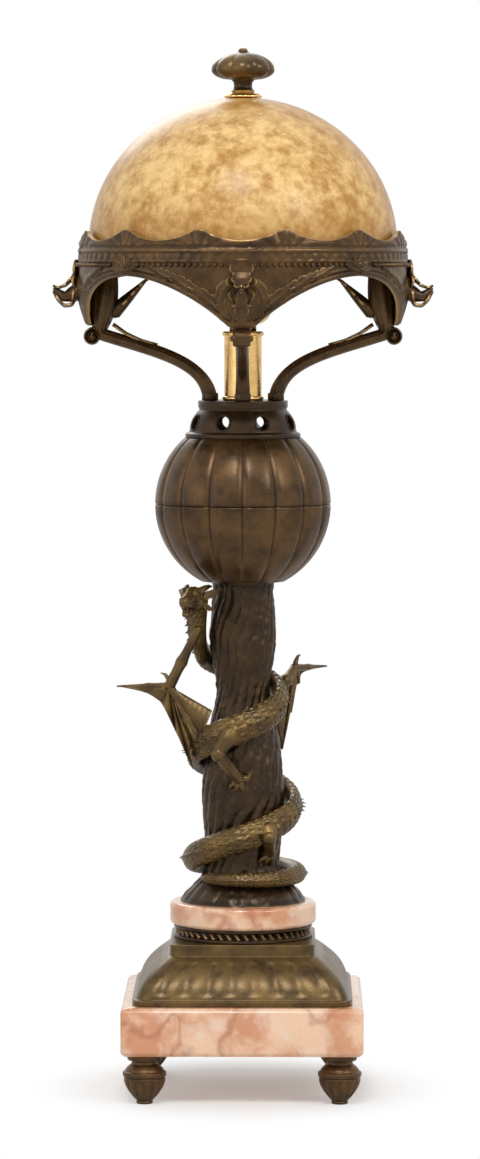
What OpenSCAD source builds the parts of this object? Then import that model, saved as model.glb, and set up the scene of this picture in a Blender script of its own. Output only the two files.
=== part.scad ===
// Table lamp with a domed shade. A glass dome stands on a bronze gallery, which four scroll arms carry over
// a grooved globe, a column with a winged dragon wound round it, and a foot of bronze and marble.
// Millimetres. +Z is up, the front is towards -Y, and the origin is on the table under the lamp's axis.

/* [Feet] */
// Height of a foot
foot_h = 33; // [28:1:44]
// Largest diameter of a foot
foot_d = 29; // [26:1:34]
// Diameter of the flat under a foot
foot_pad_d = 10; // [6:0.5:14]
// Diameter of the ring at the top of a foot
foot_ring_d = 23; // [18:1:26]
// Height of the ring at the top of a foot
foot_ring_h = 4; // [3:0.5:6]
// Distance from the plinth's edge to a foot's axis
foot_inset = 15.5; // [15:0.5:24]
// Diameter of the stud that holds a foot
foot_stud_d = 6; // [4:0.5:8]
// Depth of the stud in the foot
foot_stud_in = 14; // [10:1:18]

/* [Marble plinth] */
// Side of the plinth
plinth_w = 160; // [154:1:190]
// Thickness of the plinth
plinth_h = 32; // [28:1:44]
// Bevel along the plinth's edges
plinth_bevel = 2; // [1:0.5:4]
// Diameter of the recess under the plinth
recess_d = 46; // [42:1:60]
// Depth of the recess under the plinth
recess_h = 16; // [15:0.5:18]

/* [Bronze base] */
// Side of the base at its foot
base_w = 146; // [136:1:152]
// Height of the base
base_h = 38; // [34:1:50]
// Height of the plain band round the foot of the base
base_band_h = 4; // [2:0.5:8]
// Side of the base at its top
base_top_w = 97; // [94:1:110]
// Height of the upright edge at the top of the base
base_lip_h = 8; // [5:0.5:10]
// How far the slopes bulge
base_bulge = 4; // [1:0.25:6]
// Thickness of the casting
base_wall = 9; // [7:0.5:12]

/* [Socle and marble disc] */
// Diameter of the socle ring
socle_d = 93; // [84:1:104]
// Height of the socle ring
socle_h = 9; // [6:0.5:14]
// Diameter of the marble disc
disc_d = 98; // [94:1:108]
// Thickness of the marble disc
disc_h = 15; // [10:0.5:22]
// Rounding of the marble disc's edges
disc_round = 3; // [1:0.5:4.5]

/* [Column] */
// Height of the column
column_h = 215; // [205:1:240]
// Diameter of the shaft
column_d = 48; // [46:0.5:52]
// Diameter of the swell in the lower half of the shaft
swell_d = 57; // [54:0.5:60]
// Diameter of the waist in the upper half of the shaft
waist_d = 37; // [35:0.5:42]
// Thickness of the casting at the waist
column_wall = 7; // [5:0.5:8]
// Diameter of the mound at the foot
mound_d = 84; // [76:1:92]
// Height over which the mound falls away
mound_fall = 14; // [12:0.5:18]
// Diameter of the shaft's top, under the globe
capital_d = 42; // [40:0.5:47]
// Height over which the shaft tapers to its top
capital_fall = 30; // [20:1:40]

/* [Dragon] */
// Thickest diameter of the body
dragon_d = 19.5; // [17:0.5:22]
// Diameter of the neck
dragon_neck_d = 16.5; // [14:0.5:18]
// Diameter of the tail's tip
dragon_tail_d = 3; // [2:0.5:5]
// Depth of the body over its height, where it lies flat on the shaft
dragon_flat = 0.55; // [0.5:0.05:0.8]
// Rise of the coil in one turn
coil_pitch = 75; // [68:0.5:78]
// Height at which the tail lies on the mound
coil_low = 17; // [14:0.5:20]
// Length of the head
head_l = 33; // [28:1:38]
// Span of a wing
wing_span = 60; // [52:1:66]
// Depth of a wing
wing_drop = 40; // [34:1:46]
// Thickness of a wing's skin
wing_t = 3; // [2:0.5:4]
// How far the left wing's shoulder stands back over the body
wing_shoulder = 8; // [4:0.5:10]

/* [Globe] */
// Diameter of the globe
globe_d = 118; // [110:1:130]
// Height of the globe below its middle
globe_below = 52; // [49:0.5:53]
// Height of the globe above its middle
globe_above = 44; // [40:0.5:47]
// Thickness of the shells
globe_wall = 4.5; // [4:0.5:7]
// Number of grooves round the globe
globe_gores = 16; // [8:2:20]
// Width of a groove
groove_w = 3; // [1.5:0.25:4]
// Depth of a groove
groove_t = 1.5; // [0.5:0.25:2]
// Thickness of the plates at the globe's top and bottom
globe_plate = 5; // [4:0.5:8]

/* [Collar] */
// Height of the collar
collar_h = 25; // [22:0.5:32]
// Diameter of the collar's flange
collar_d = 77; // [75:1:79]
// Diameter of the collar's neck
collar_neck_d = 71; // [66:0.5:72]
// Diameter of the collar's top
collar_top_d = 60; // [58:0.5:66]
// Thickness of the collar's wall
collar_wall = 2.5; // [2:0.25:3]
// Thickness of the plate on the collar
collar_plate = 4; // [3:0.5:6]
// Diameter of the holes that pierce the collar
pierce_d = 9; // [5:0.5:10]

/* [Stem] */
// Diameter of the stem
stem_d = 25; // [22:0.5:26]
// Length of the stem
stem_h = 46; // [40:1:54]
// Wall of the stem
stem_wall = 2; // [1.5:0.25:3]
// Height of the bead at each end of the stem
stem_bead = 3; // [2:0.5:5]

/* [Arms] */
// Thickness of an arm at its thinnest
arm_d = 8.5; // [7:0.5:10]
// Distance from the axis to an arm's foot
arm_foot_r = 22; // [21:0.25:22.5]
// Diameter of an arm's foot
arm_pad_d = 11; // [9:0.5:12]
// Thickness of an arm's end pads
arm_pad_h = 5; // [4:0.5:8]
// Width of an arm's bracket
bracket_w = 22; // [18:0.5:26]
// Depth of an arm's bracket from front to back
bracket_t = 19; // [16:0.5:20]
// Radius of the scroll at an arm's elbow
volute_r = 7; // [5.5:0.25:7.5]
// Width of the scroll at an arm's elbow
volute_w = 12; // [10:0.5:14]
// Length of the leaf on the inner side of an arm
inner_leaf_l = 32; // [26:1:34]
// Diameter of the screws in the arms
arm_screw_d = 4; // [3:0.25:4.5]

/* [Gallery] */
// Height of the ledge above the collar
gallery_rise = 101; // [98:1:110]
// Gap between the shade and the gallery's wall
gallery_gap = 1.5; // [1:0.25:3]
// Thickness of the gallery's wall
gallery_wall = 3; // [2.5:0.25:4]
// How far the wall swells out at its belly
gallery_belly = 2.5; // [1:0.25:4]
// How far the wall draws in at the pendants' tips
gallery_tuck = 3.5; // [2:0.25:5]
// Depth of the pendants below the ledge
gallery_drop = 51; // [48:0.5:54]
// Depth of the skirt at the top of its arches
skirt_h = 18; // [16:0.5:20]
// Radius of the arches in the skirt
arch_r = 89; // [86:1:96]
// Height of the cresting above the ledge
crest_h = 12; // [9:0.5:16]
// Depth of the dips in the cresting
crest_dip = 7; // [4:0.5:8]
// Number of dips in the cresting
crest_count = 12; // [8:4:16]
// Width of the ledge
ledge_w = 18; // [17:0.5:20]
// Thickness of the ledge
ledge_t = 4; // [3:0.5:6]
// Distance from the axis to the spur leaves' tips
spur_reach = 128; // [122:0.5:132]
// Width of a spur leaf
spur_w = 20; // [14:0.5:26]

/* [Shade] */
// Diameter of the shade
shade_d = 206; // [202:1:212]
// Height of the shade
shade_h = 99; // [92:1:110]
// Thickness of the glass
shade_wall = 4; // [3:0.25:5]
// Diameter of the hole in the crown
shade_hole_d = 8; // [7:0.5:12]
// Thickness of the gasket under the shade
gasket_t = 1.5; // [1:0.25:3]

/* [Finial] */
// Height of the finial
finial_h = 30; // [26:0.5:36]
// Diameter of the finial
finial_d = 42; // [36:0.5:50]
// Diameter of the finial's neck
finial_neck_d = 13; // [11:0.5:16]
// Height of the finial's neck
finial_neck_h = 9; // [7:0.5:12]
// Diameter of the finial's stud
finial_stud_d = 6; // [5:0.25:6.5]
// Depth of the stud in the finial
finial_stud_in = 15; // [12:0.5:20]
// Diameter of the crown cap
crown_d = 26; // [22:0.5:32]
// Thickness of the crown cap
crown_t = 3; // [2:0.25:5]

/* [Lamp holder] */
// Diameter of the holder
holder_d = 38; // [36:0.5:42]
// Height of the holder's cap
holder_cap_h = 16; // [14:0.5:20]
// Height of the holder's shell
holder_shell_h = 42; // [40:0.5:46]
// Height of the ceramic body
holder_body_h = 16; // [14:0.5:18]
// Diameter of the switch's spindle
key_spindle_d = 5; // [4:0.25:6]
// Diameter of the switch's key
key_d = 16; // [12:0.5:20]
// Thickness of the switch's key
key_t = 3.5; // [2.5:0.25:5]

/* [Bulb] */
// Diameter of the bulb's glass
bulb_d = 45; // [40:0.5:50]
// Diameter of the bulb's screw cap
bulb_cap_d = 26.4; // [26:0.1:27]
// Height of the bulb's screw cap
bulb_cap_h = 22; // [20:0.5:26]

/* [Rod, wiring and fits] */
// Diameter of the tie rod
rod_d = 10; // [9:0.25:11]
// Bore of the tie rod
rod_bore = 6.5; // [6:0.1:7]
// Bore of the bush that the cord goes in through
bush_bore = 6; // [5:0.1:6.2]
// Diameter of a wire
wire_d = 2.4; // [1.8:0.1:2.6]
// Radial play of a piece slipped over another
slip = 0.2; // [0.1:0.05:0.3]
// Radial play of a turning piece
turn_play = 0.05; // [0.02:0.01:0.1]
// Gap between castings that are fitted to each other
cast_gap = 0.4; // [0.3:0.05:0.6]

/* [Hidden] */
$fn = 72;

// Heights of the stack, from the table up
z_plinth = foot_h;
z_base = z_plinth + plinth_h;
z_socle = z_base + base_h;
z_disc = z_socle + socle_h;
z_column = z_disc + disc_h;
z_globe = z_column + column_h;
z_equator = z_globe + globe_below;
z_collar = z_equator + globe_above;
z_stem = z_collar + collar_h;
z_holder = z_stem + stem_h;
z_rim = z_stem + gallery_rise;
z_shade = z_rim + gasket_t;
z_crown = z_shade + shade_h;
z_finial = z_crown + crown_t + slip;

// Colours of the finishes
bronze = "#4a3a26";
dark_bronze = "#33271a";
olive_bronze = "#5b4c31";
brass = "#a98a55";
steel = "#9a9a98";
marble = "#e2b596";
amber = "#d0a35f";
ceramic = "#e8e4da";
copper = "#b4713f";

// Shared sizes
rod_hole_d = rod_d + 2 * slip;
foot_c = plinth_w / 2 - foot_inset;
foot_nut_af = foot_stud_d + 4;
foot_nut_h = 5;
foot_pocket_h = foot_nut_h + 3;
foot_pocket_d = foot_nut_af / cos(30) + 4;
clamp_washer_d = recess_d - 8;
clamp_washer_t = 2.5;
clamp_nut_h = 6;
corners = [[-1, -1], [1, -1], [-1, 1], [1, 1]];
arm_angles = [-90, 90, 180, 0];

function unit(v) = v / norm(v);
function mix(a, b, t) = a + (b - a) * t;
function ramp(a, b, x) = let(t = max(0, min(1, (x - a) / (b - a)))) t * t * (3 - 2 * t);
function arc(c, r, from, to, n) =
    [for (i = [0:n]) let(a = mix(from, to, i / n)) c + r * [cos(a), sin(a)]];
function bezier(p, t) =
    pow(1 - t, 3) * p[0] + 3 * t * pow(1 - t, 2) * p[1] + 3 * t * t * (1 - t) * p[2] + pow(t, 3) * p[3];

// A closed tube along a path. Each section is an ellipse: its first radius lies along the reference vector
module tube(path, radii, refs, sides) {
    n = len(path);
    rings = [for (i = [0:n - 1])
        let(
            along = unit(path[min(i + 1, n - 1)] - path[max(i - 1, 0)]),
            side = unit(refs[i] - (refs[i] * along) * along),
            over = cross(along, side)
        )
        [for (k = [0:sides - 1])
            path[i] + radii[i][0] * cos(360 * k / sides) * side + radii[i][1] * sin(360 * k / sides) * over]];
    skin = [for (i = [0:n - 2], k = [0:sides - 1])
        let(a = i * sides + k, b = i * sides + (k + 1) % sides)
        each [[a, a + sides, b + sides], [a, b + sides, b]]];
    last = (n - 1) * sides;
    first_cap = [for (k = [0:sides - 1]) [n * sides, k, (k + 1) % sides]];
    last_cap = [for (k = [0:sides - 1]) [n * sides + 1, last + (k + 1) % sides, last + k]];
    polyhedron(
        concat([for (ring = rings) each ring], [path[0]], [path[n - 1]]),
        concat(skin, first_cap, last_cap)
    );
}

// A ring with a plain round section on the axis
module washer(outer_d, bore_d, h) {
    difference() {
        cylinder(d = outer_d, h = h);
        translate([0, 0, -1]) cylinder(d = bore_d, h = h + 2);
    }
}

module hex_nut(across, bore_d, h) {
    difference() {
        cylinder(d = across / cos(30), h = h, $fn = 6);
        translate([0, 0, -1]) cylinder(d = bore_d, h = h + 2);
    }
}

// A square block whose four sides all have one moulding, given as half widths and heights
module moulded_block(half) {
    outline = concat(half, [for (i = [len(half) - 1:-1:0]) [-half[i][0], half[i][1]]]);
    length = 2 * max([for (p = half) p[0]]) + 2;
    intersection() {
        rotate([90, 0, 0]) linear_extrude(height = length, center = true) polygon(outline);
        rotate([90, 0, 90]) linear_extrude(height = length, center = true) polygon(outline);
    }
}

// Feet

foot_belly_h = foot_h - foot_ring_h - 9;
foot_turning = concat(
    [[0, 0]],
    [for (i = [0:12]) [mix(foot_pad_d, foot_d, sin(90 * i / 12)) / 2, foot_belly_h * i / 12]],
    arc([foot_d / 2 - 5, foot_belly_h], 5, 15, 75, 4),
    [[foot_ring_d / 2 - 3, foot_h - foot_ring_h - 2], [foot_ring_d / 2 - 3, foot_h - foot_ring_h]],
    [[foot_ring_d / 2, foot_h - foot_ring_h], [foot_ring_d / 2, foot_h], [0, foot_h]]
);

module foot(corner) {
    color(bronze) translate([corner[0] * foot_c, corner[1] * foot_c, 0]) difference() {
        rotate_extrude() polygon(foot_turning);
        translate([0, 0, foot_h - foot_stud_in - 1])
            cylinder(d = foot_stud_d + 2 * slip, h = foot_stud_in + 2);
    }
}

module foot_studs() {
    color(steel) for (c = corners)
        translate([c[0] * foot_c, c[1] * foot_c, foot_h - foot_stud_in])
            cylinder(d = foot_stud_d, h = foot_stud_in + plinth_h - 1.5);
}

module foot_nuts() {
    color(steel) for (c = corners)
        translate([c[0] * foot_c, c[1] * foot_c, z_base - foot_pocket_h])
            hex_nut(foot_nut_af, foot_stud_d + 2 * slip, foot_nut_h);
}

// Marble plinth

plinth_section = [
    [plinth_w / 2 - plinth_bevel, 0], [plinth_w / 2, plinth_bevel],
    [plinth_w / 2, plinth_h - plinth_bevel], [plinth_w / 2 - plinth_bevel, plinth_h]
];

module marble_plinth() {
    color(marble) translate([0, 0, z_plinth]) difference() {
        intersection() {
            moulded_block(plinth_section);
            rotate([0, 0, 45]) cube((plinth_w - plinth_bevel) * sqrt(2), center = true);
        }
        translate([0, 0, -1]) cylinder(d = rod_hole_d, h = plinth_h + 2);
        translate([0, 0, -1]) cylinder(d = recess_d, h = recess_h + 1);
        for (c = corners) translate([c[0] * foot_c, c[1] * foot_c, 0]) {
            translate([0, 0, -1]) cylinder(d = foot_stud_d + 2 * slip, h = plinth_h + 2);
            translate([0, 0, plinth_h - foot_pocket_h]) cylinder(d = foot_pocket_d, h = foot_pocket_h + 1);
        }
    }
}

module clamp_washer() {
    color(steel) translate([0, 0, z_plinth + recess_h - clamp_washer_t])
        washer(clamp_washer_d, rod_hole_d, clamp_washer_t);
}

module clamp_nut() {
    color(steel) translate([0, 0, z_plinth + recess_h - clamp_washer_t - clamp_nut_h])
        hex_nut(rod_d + 7, rod_hole_d, clamp_nut_h);
}

// A bush under the nut covers the rod's cut end, where the cord goes in
module cord_bush() {
    bush_h = recess_h - clamp_washer_t - clamp_nut_h - 0.7;
    color(brass) translate([0, 0, z_plinth + 0.5]) difference() {
        cylinder(d = rod_d + 6, h = bush_h);
        translate([0, 0, -1]) cylinder(d = bush_bore, h = bush_h + 2);
        translate([0, 0, bush_h / 2]) cylinder(d = rod_hole_d, h = bush_h);
    }
}

// Bronze base: a square casting whose sides slope in from a band at its foot to the lip under the socle

base_half = base_w / 2;
base_top_half = base_top_w / 2;
base_slope_h = base_h - base_lip_h - base_band_h;
function base_side(t) = mix(base_half - 2, base_top_half + 1.5, t) + base_bulge * sin(180 * t);
base_section = concat(
    [[base_half, 0], [base_half, base_band_h]],
    [for (i = [0:8]) [base_side(i / 8), base_band_h + base_slope_h * i / 8]],
    [[base_top_half, base_h - base_lip_h], [base_top_half, base_h]]
);
cavity_half = base_top_half - base_wall + 4;

module bronze_base() {
    color(olive_bronze) translate([0, 0, z_base]) difference() {
        moulded_block(base_section);
        translate([-cavity_half, -cavity_half, -1])
            cube([2 * cavity_half, 2 * cavity_half, base_h - base_wall + 1]);
        translate([0, 0, -1]) cylinder(d = rod_hole_d, h = base_h + 2);
    }
}

// Wiring, from a terminal block in the base up through the rod to the lamp holder

block_size = [26, 16, 12];
block_y = 22;
wire_x = (rod_bore - wire_d) / 4 + wire_d / 4;
wire_end = z_holder + holder_cap_h + 2;
function wire_route(s) = [
    [s * 6, block_y, z_base + 6], [s * 6, block_y - 4, z_base + 6], [s * 4, block_y - 10, z_base + 8],
    [s * wire_x, 9, z_base + 14], [s * wire_x, 4, z_base + 19], [s * wire_x, 1, z_base + 25],
    [s * wire_x, 0, z_base + 33], [s * wire_x, 0, z_column], [s * wire_x, 0, z_globe],
    [s * wire_x, 0, z_stem], [s * wire_x, 0, z_holder + 8], [s * 3.5, 0, wire_end - 6], [s * 6, 0, wire_end]
];

module terminal_block() {
    color(ceramic) translate([-block_size[0] / 2, block_y, z_base]) cube(block_size);
}

module terminal_screws() {
    color(brass) for (x = [-6, 6], y = [4, 12])
        translate([x, block_y + y, z_base + block_size[2]]) cylinder(d = 4, h = 2);
}

module wire(s) {
    route = wire_route(s);
    tube(route, [for (p = route) [wire_d, wire_d] / 2], [for (p = route) [1, 0, 0]], 8);
}

module live_wire() {
    color("#7a4a2a") wire(1);
}

module neutral_wire() {
    color("#3a5a8a") wire(-1);
}

// Socle ring, marble disc and the rod that clamps the stack

module socle_ring() {
    lip = 2;
    color(dark_bronze) translate([0, 0, z_socle]) difference() {
        rotate_extrude() polygon(concat(
            [[0, 0], [socle_d / 2, 0], [socle_d / 2, lip]],
            [for (i = [1:5]) [socle_d / 2 - lip * sin(180 * i / 6) - 0.5, mix(lip, socle_h - lip, i / 6)]],
            [[socle_d / 2, socle_h - lip], [socle_d / 2, socle_h], [0, socle_h]]
        ));
        translate([0, 0, -1]) cylinder(d = rod_hole_d, h = socle_h + 2);
    }
}

module marble_disc() {
    edge = disc_d / 2 - disc_round;
    color(marble) translate([0, 0, z_disc]) difference() {
        rotate_extrude() polygon(concat(
            [[0, 0]],
            arc([edge, disc_round], disc_round, -90, 0, 6),
            arc([edge, disc_h - disc_round], disc_round, 0, 90, 6),
            [[0, disc_h]]
        ));
        translate([0, 0, -1]) cylinder(d = rod_hole_d, h = disc_h + 2);
    }
}

module tie_rod() {
    low = z_plinth + 0.7 + (recess_h - clamp_washer_t - clamp_nut_h) / 2;
    color(steel) difference() {
        translate([0, 0, low]) cylinder(d = rod_d, h = z_holder + holder_cap_h / 2 - low);
        translate([0, 0, low - 1]) cylinder(d = rod_bore, h = z_holder + holder_cap_h - low);
        translate([-rod_bore / 2 + 0.2, 0, z_base + 10]) cube([rod_bore - 0.4, rod_d, 18]);
    }
}

// Column: a shaft that spreads into a mound at its foot and tapers under the globe

function core_r(h) = column_d / 2
    + (mound_d - column_d) / 2 * exp(-pow(h / mound_fall, 2))
    + (swell_d - column_d) / 2 * exp(-pow((h / column_h - 0.33) / 0.18, 2))
    - (column_d - waist_d) / 2 * exp(-pow((h / column_h - 0.66) / 0.1, 2))
    + (capital_d - column_d) / 2 * exp(-pow((column_h - h) / capital_fall, 2));
function core_slope(h) = core_r(h + 0.5) - core_r(h - 0.5);

module column() {
    hollow = waist_d / 2 - column_wall;
    plug = 16;
    steps = 48;
    color(dark_bronze) translate([0, 0, z_column]) rotate_extrude() polygon(concat(
        [for (i = [0:steps]) let(h = column_h * i / steps) [core_r(h), h]],
        [[rod_hole_d / 2, column_h], [rod_hole_d / 2, column_h - plug]],
        [[hollow, column_h - plug - hollow], [hollow, plug + hollow]],
        [[rod_hole_d / 2, plug], [rod_hole_d / 2, 0]]
    ));
}

// Dragon: its body climbs the column as a right-handed coil, from the tail on the mound to the neck

tail_angle = -150;
neck_angle = 885;
coil_step = 15;
coil_ease = 60;
coil_lag = 140;
coil_settle = 0.1;
function coil_h(a) =
    coil_low + coil_pitch / 360 * (a - coil_lag + sqrt(pow(a - coil_lag, 2) + pow(coil_ease, 2))) / 2
    - coil_pitch * coil_settle * ramp(700, 900, a);
function body_r(a) = dragon_tail_d / 2
    + (dragon_d - dragon_tail_d) / 2 * pow(ramp(tail_angle - 20, 560, a), 0.3)
    - (dragon_d - dragon_neck_d) / 2 * ramp(600, 840, a);
function body_flat(a) = mix(1, dragon_flat, ramp(90, 330, a));
function coil_point(a) =
    let(
        h = max(coil_h(a), body_r(a) + cast_gap),
        rim = [for (t = [-75:15:75]) core_r(h + body_r(a) * sin(t)) + body_r(a) * body_flat(a) * cos(t)],
        r = max(rim) + (cast_gap + 0.2) * norm([1, core_slope(h)])
    )
    [r * cos(a), r * sin(a), z_column + h];
coil_angles = [for (a = [tail_angle:coil_step:neck_angle]) a];
head_aim = unit([-0.25, -0.96, -0.05]);
head_at = [-column_d / 2 - 7, -column_d / 2 - 4, z_globe - 10.5];
neck_from = coil_point(neck_angle);
neck_way = unit(neck_from - coil_point(neck_angle - 4));
nape = head_at - 4 * head_aim;
nape_taper = 0.86;
neck_curve = [
    neck_from, neck_from + 12 * neck_way + [-2, 0, 6], nape - 12 * head_aim - [3, 0, 8], nape
];
neck_steps = 7;
neck_path = concat([for (i = [1:neck_steps]) bezier(neck_curve, i / neck_steps)], [head_at]);
neck_radii = [for (i = [1:neck_steps + 1]) let(t = min(1, i / neck_steps))
    dragon_neck_d / 2 * mix(1, nape_taper, t) * [mix(dragon_flat, 1, t), 1]];
body_sides = 10;
function outward(path) = [for (p = path) [p[0], p[1], 0]];

module dragon_body() {
    path = concat([for (a = coil_angles) coil_point(a)], neck_path);
    radii = concat([for (a = coil_angles) body_r(a) * [body_flat(a), 1]], neck_radii);
    color(olive_bronze) tube(path, radii, outward(path), body_sides);
}

// A piece of the coil, swollen by the gap, that makes room for a wing's root
module coil_room(middle) {
    angles = [for (a = [middle - 90:coil_step:middle + 90]) a];
    path = [for (a = angles) coil_point(a)];
    radii = [for (a = angles) body_r(a) * [body_flat(a), 1] + cast_gap * [1, 1]];
    tube(path, radii, outward(path), body_sides);
}

// The neck, swollen by the gap, that makes room for the upper arm of a wing
module neck_room() {
    tube(neck_path, [for (r = neck_radii) r + cast_gap * [1, 1]], outward(neck_path), body_sides);
}

// One rounded spike between two balls
module spike(from, from_r, to, to_r) {
    hull() {
        translate(from) sphere(r = from_r, $fn = 12);
        translate(to) sphere(r = to_r, $fn = 10);
    }
}

// The head lies along its own X axis, with its back face a gap away from the end of the neck
module dragon_head() {
    crown_r = dragon_neck_d / 2 * nape_taper + 0.8;
    level = norm([head_aim[0], head_aim[1]]);
    color(olive_bronze) translate(head_at)
        rotate([0, -atan2(head_aim[2], level), atan2(head_aim[1], head_aim[0])]) {
            difference() {
                union() {
                    spike([2, 0, 1], crown_r, [head_l * 0.45, 0, 2.5], 6.6);
                    spike([head_l * 0.4, 0, 3], 6.4, [head_l - 5, 0, 0.5], 4.6);
                    spike([6, 0, -4], 5, [head_l - 7, 0, -6.5], 2.8);
                    for (s = [-1, 1]) {
                        spike([10, s * 4.5, 7], 2.6, [17, s * 4.5, 6.5], 2);
                        spike([head_l - 6, s * 2.2, 4], 1.6, [head_l - 3.5, s * 2.2, 4], 1.3);
                    }
                }
                translate([cast_gap - 40, -20, -20]) cube(40);
            }
            for (s = [-1, 1]) {
                spike([6, s * 5, 7], 2.5, [-11, s * 8, 7.5], 0.9);
                spike([5, s * 8, 3], 2.2, [-8, s * 14, 5], 0.8);
            }
        }
}

// A wing hangs from its leading edge: the long finger runs from the wrist to the tip
wing_wrist = [wing_span * 0.38, wing_drop * 0.35];
wing_tip = [wing_span, wing_drop * 0.32];
wing_ribs = [
    [wing_span * 0.48, wing_drop * 0.08], [wing_span * 0.31, -wing_drop * 0.4],
    [wing_span * 0.12, -wing_drop]
];
function across(a, b) = [a[1] - b[1], b[0] - a[0]] / norm(b - a);
function scallop(a, b, sag) =
    [for (i = [1:4]) let(t = i / 5) mix(a, b, t) - across(a, b) * sag * 4 * t * (1 - t)];
function wing_outline(root_v, shoulder) = concat(
    shoulder > 0 ? [[0, root_v], [-0.8 * shoulder, -wing_drop * 0.05]] : [[0, root_v + 4]],
    [wing_wrist, wing_tip],
    scallop(wing_tip, wing_ribs[0], 4), [wing_ribs[0]],
    scallop(wing_ribs[0], wing_ribs[1], 3), [wing_ribs[1]],
    scallop(wing_ribs[1], wing_ribs[2], 3), [wing_ribs[2]],
    [[wing_span * 0.05, root_v - 4]]
);

// A flat bone between two points, with a half width at each end
module bone(a, a_w, b, b_w) {
    side = across(a, b);
    along = [side[1], -side[0]];
    polygon([
        a + side * a_w, a - along * a_w, a - side * a_w,
        b - side * b_w, b + along * b_w, b + side * b_w
    ]);
}

// A wing meets the coil at an angle of it; root_v is the coil's height in the wing's own plane.
// A wing with a shoulder also has an upper arm, from its wrist to the underside of the neck
module wing(root_angle, root_v, heading, shoulder) {
    color(olive_bronze) difference() {
        translate(coil_point(root_angle) - [0, 0, root_v]) rotate([90, 0, heading]) {
            linear_extrude(height = wing_t, center = true) polygon(wing_outline(root_v, shoulder));
            linear_extrude(height = wing_t + 2, center = true) {
                bone([0, root_v], 4, wing_wrist, 2.6);
                bone(wing_wrist, 2.6, wing_tip, 0.8);
                bone(wing_wrist, 2.4, wing_wrist + [3, 8], 0.7);
                for (rib = wing_ribs) bone(wing_wrist, 1.8, rib, 0.8);
                if (shoulder > 0) bone(wing_wrist, 4, [wing_span * 0.05, wing_drop * 1.25], 2.2);
            }
        }
        coil_room(root_angle);
        if (shoulder > 0) neck_room();
    }
}

module left_wing() {
    wing(572, -24, 166, wing_shoulder);
}

module right_wing() {
    wing(740, 1, 58, 0);
}

// Globe: two shells that meet at the middle, with grooves between the gores

// The part of a ball between two heights
module ball_slice(d, low, high) {
    intersection() {
        translate([0, 0, z_equator]) sphere(d = d);
        translate([0, 0, low]) cylinder(d = globe_d + 2, h = high - low);
    }
}

module globe_shell(low, high, hollow_low, hollow_high) {
    difference() {
        ball_slice(globe_d, low, high);
        difference() {
            for (i = [0:globe_gores / 2 - 1]) rotate([0, 0, (i + 0.5) * 360 / globe_gores])
                translate([-globe_d, -groove_w / 2, low - 1]) cube([2 * globe_d, groove_w, high - low + 2]);
            translate([0, 0, z_equator]) sphere(d = globe_d - 2 * groove_t);
        }
        ball_slice(globe_d - 2 * globe_wall, hollow_low, hollow_high);
        translate([0, 0, low - 1]) cylinder(d = rod_hole_d, h = high - low + 2);
    }
}

module lower_globe() {
    color(bronze) globe_shell(z_globe, z_equator, z_globe + globe_plate, z_equator + 1);
}

module upper_globe() {
    color(bronze) globe_shell(z_equator, z_collar, z_equator - 1, z_collar - globe_plate);
}

// Collar: a pierced neck on the globe, with the plate that carries the stem and the arms

module collar() {
    flange_h = 3;
    neck_low = flange_h + 3;
    neck_high = collar_h - collar_plate - 2;
    neck_in = collar_top_d / 2 - 1 - collar_wall;
    color(dark_bronze) translate([0, 0, z_collar]) difference() {
        rotate_extrude() polygon(concat(
            [[collar_d / 2, 0], [collar_d / 2, flange_h], [collar_d / 2 - 2.5, flange_h + 1]],
            [for (i = [0:6]) let(t = i / 6)
                [mix(collar_neck_d / 2, collar_top_d / 2 - 1, t * t), mix(neck_low, neck_high, t)]],
            [[collar_top_d / 2, collar_h - collar_plate]],
            [[collar_top_d / 2, collar_h], [rod_hole_d / 2, collar_h]],
            [[rod_hole_d / 2, collar_h - collar_plate]],
            [[neck_in, collar_h - collar_plate], [neck_in, 0]]
        ));
        for (i = [0:7]) translate([0, 0, neck_low + pierce_d / 2]) rotate([0, 90, 22.5 + 45 * i])
            cylinder(d = pierce_d, h = collar_d);
        for (a = arm_angles) rotate([0, 0, a])
            translate([arm_foot_r, 0, collar_h - collar_plate - 1])
                cylinder(d = arm_screw_d + 2 * slip, h = collar_plate + 2);
    }
}

module stem() {
    r = stem_d / 2;
    bore = r - stem_wall;
    color(brass) translate([0, 0, z_stem]) rotate_extrude() polygon(concat(
        [[bore, 0]],
        arc([r, stem_bead / 2], stem_bead / 2, -90, 90, 8),
        arc([r, stem_h - stem_bead / 2], stem_bead / 2, -90, 90, 8),
        [[bore, stem_h]]
    ));
}

// Gallery: a band that swells at its belly, with a ledge inside, a scalloped skirt below and a cresting above

gallery_in = shade_d / 2 + gallery_gap;
gallery_top_r = gallery_in + gallery_wall;
belly_z = -12;
function gallery_r(z) = gallery_top_r + gallery_belly - (z > belly_z
    ? gallery_belly * pow((z - belly_z) / (crest_h - belly_z), 2)
    : (gallery_belly + gallery_tuck) * pow((z - belly_z) / (gallery_drop + belly_z), 2));
function wall_line(from, to, n, out) =
    [for (i = [0:n]) let(z = mix(from, to, i / n)) [gallery_r(z) + out, z]];
gallery_section = concat(
    wall_line(-gallery_drop, crest_h, 16, 0),
    wall_line(crest_h, 0, 4, -gallery_wall),
    [[gallery_in - ledge_w, 0], [gallery_in - ledge_w, -ledge_t]],
    wall_line(-ledge_t, -gallery_drop, 12, -gallery_wall)
);
ledge_screw_r = gallery_in - ledge_w + arm_screw_d / 2 + 2.5;

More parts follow.
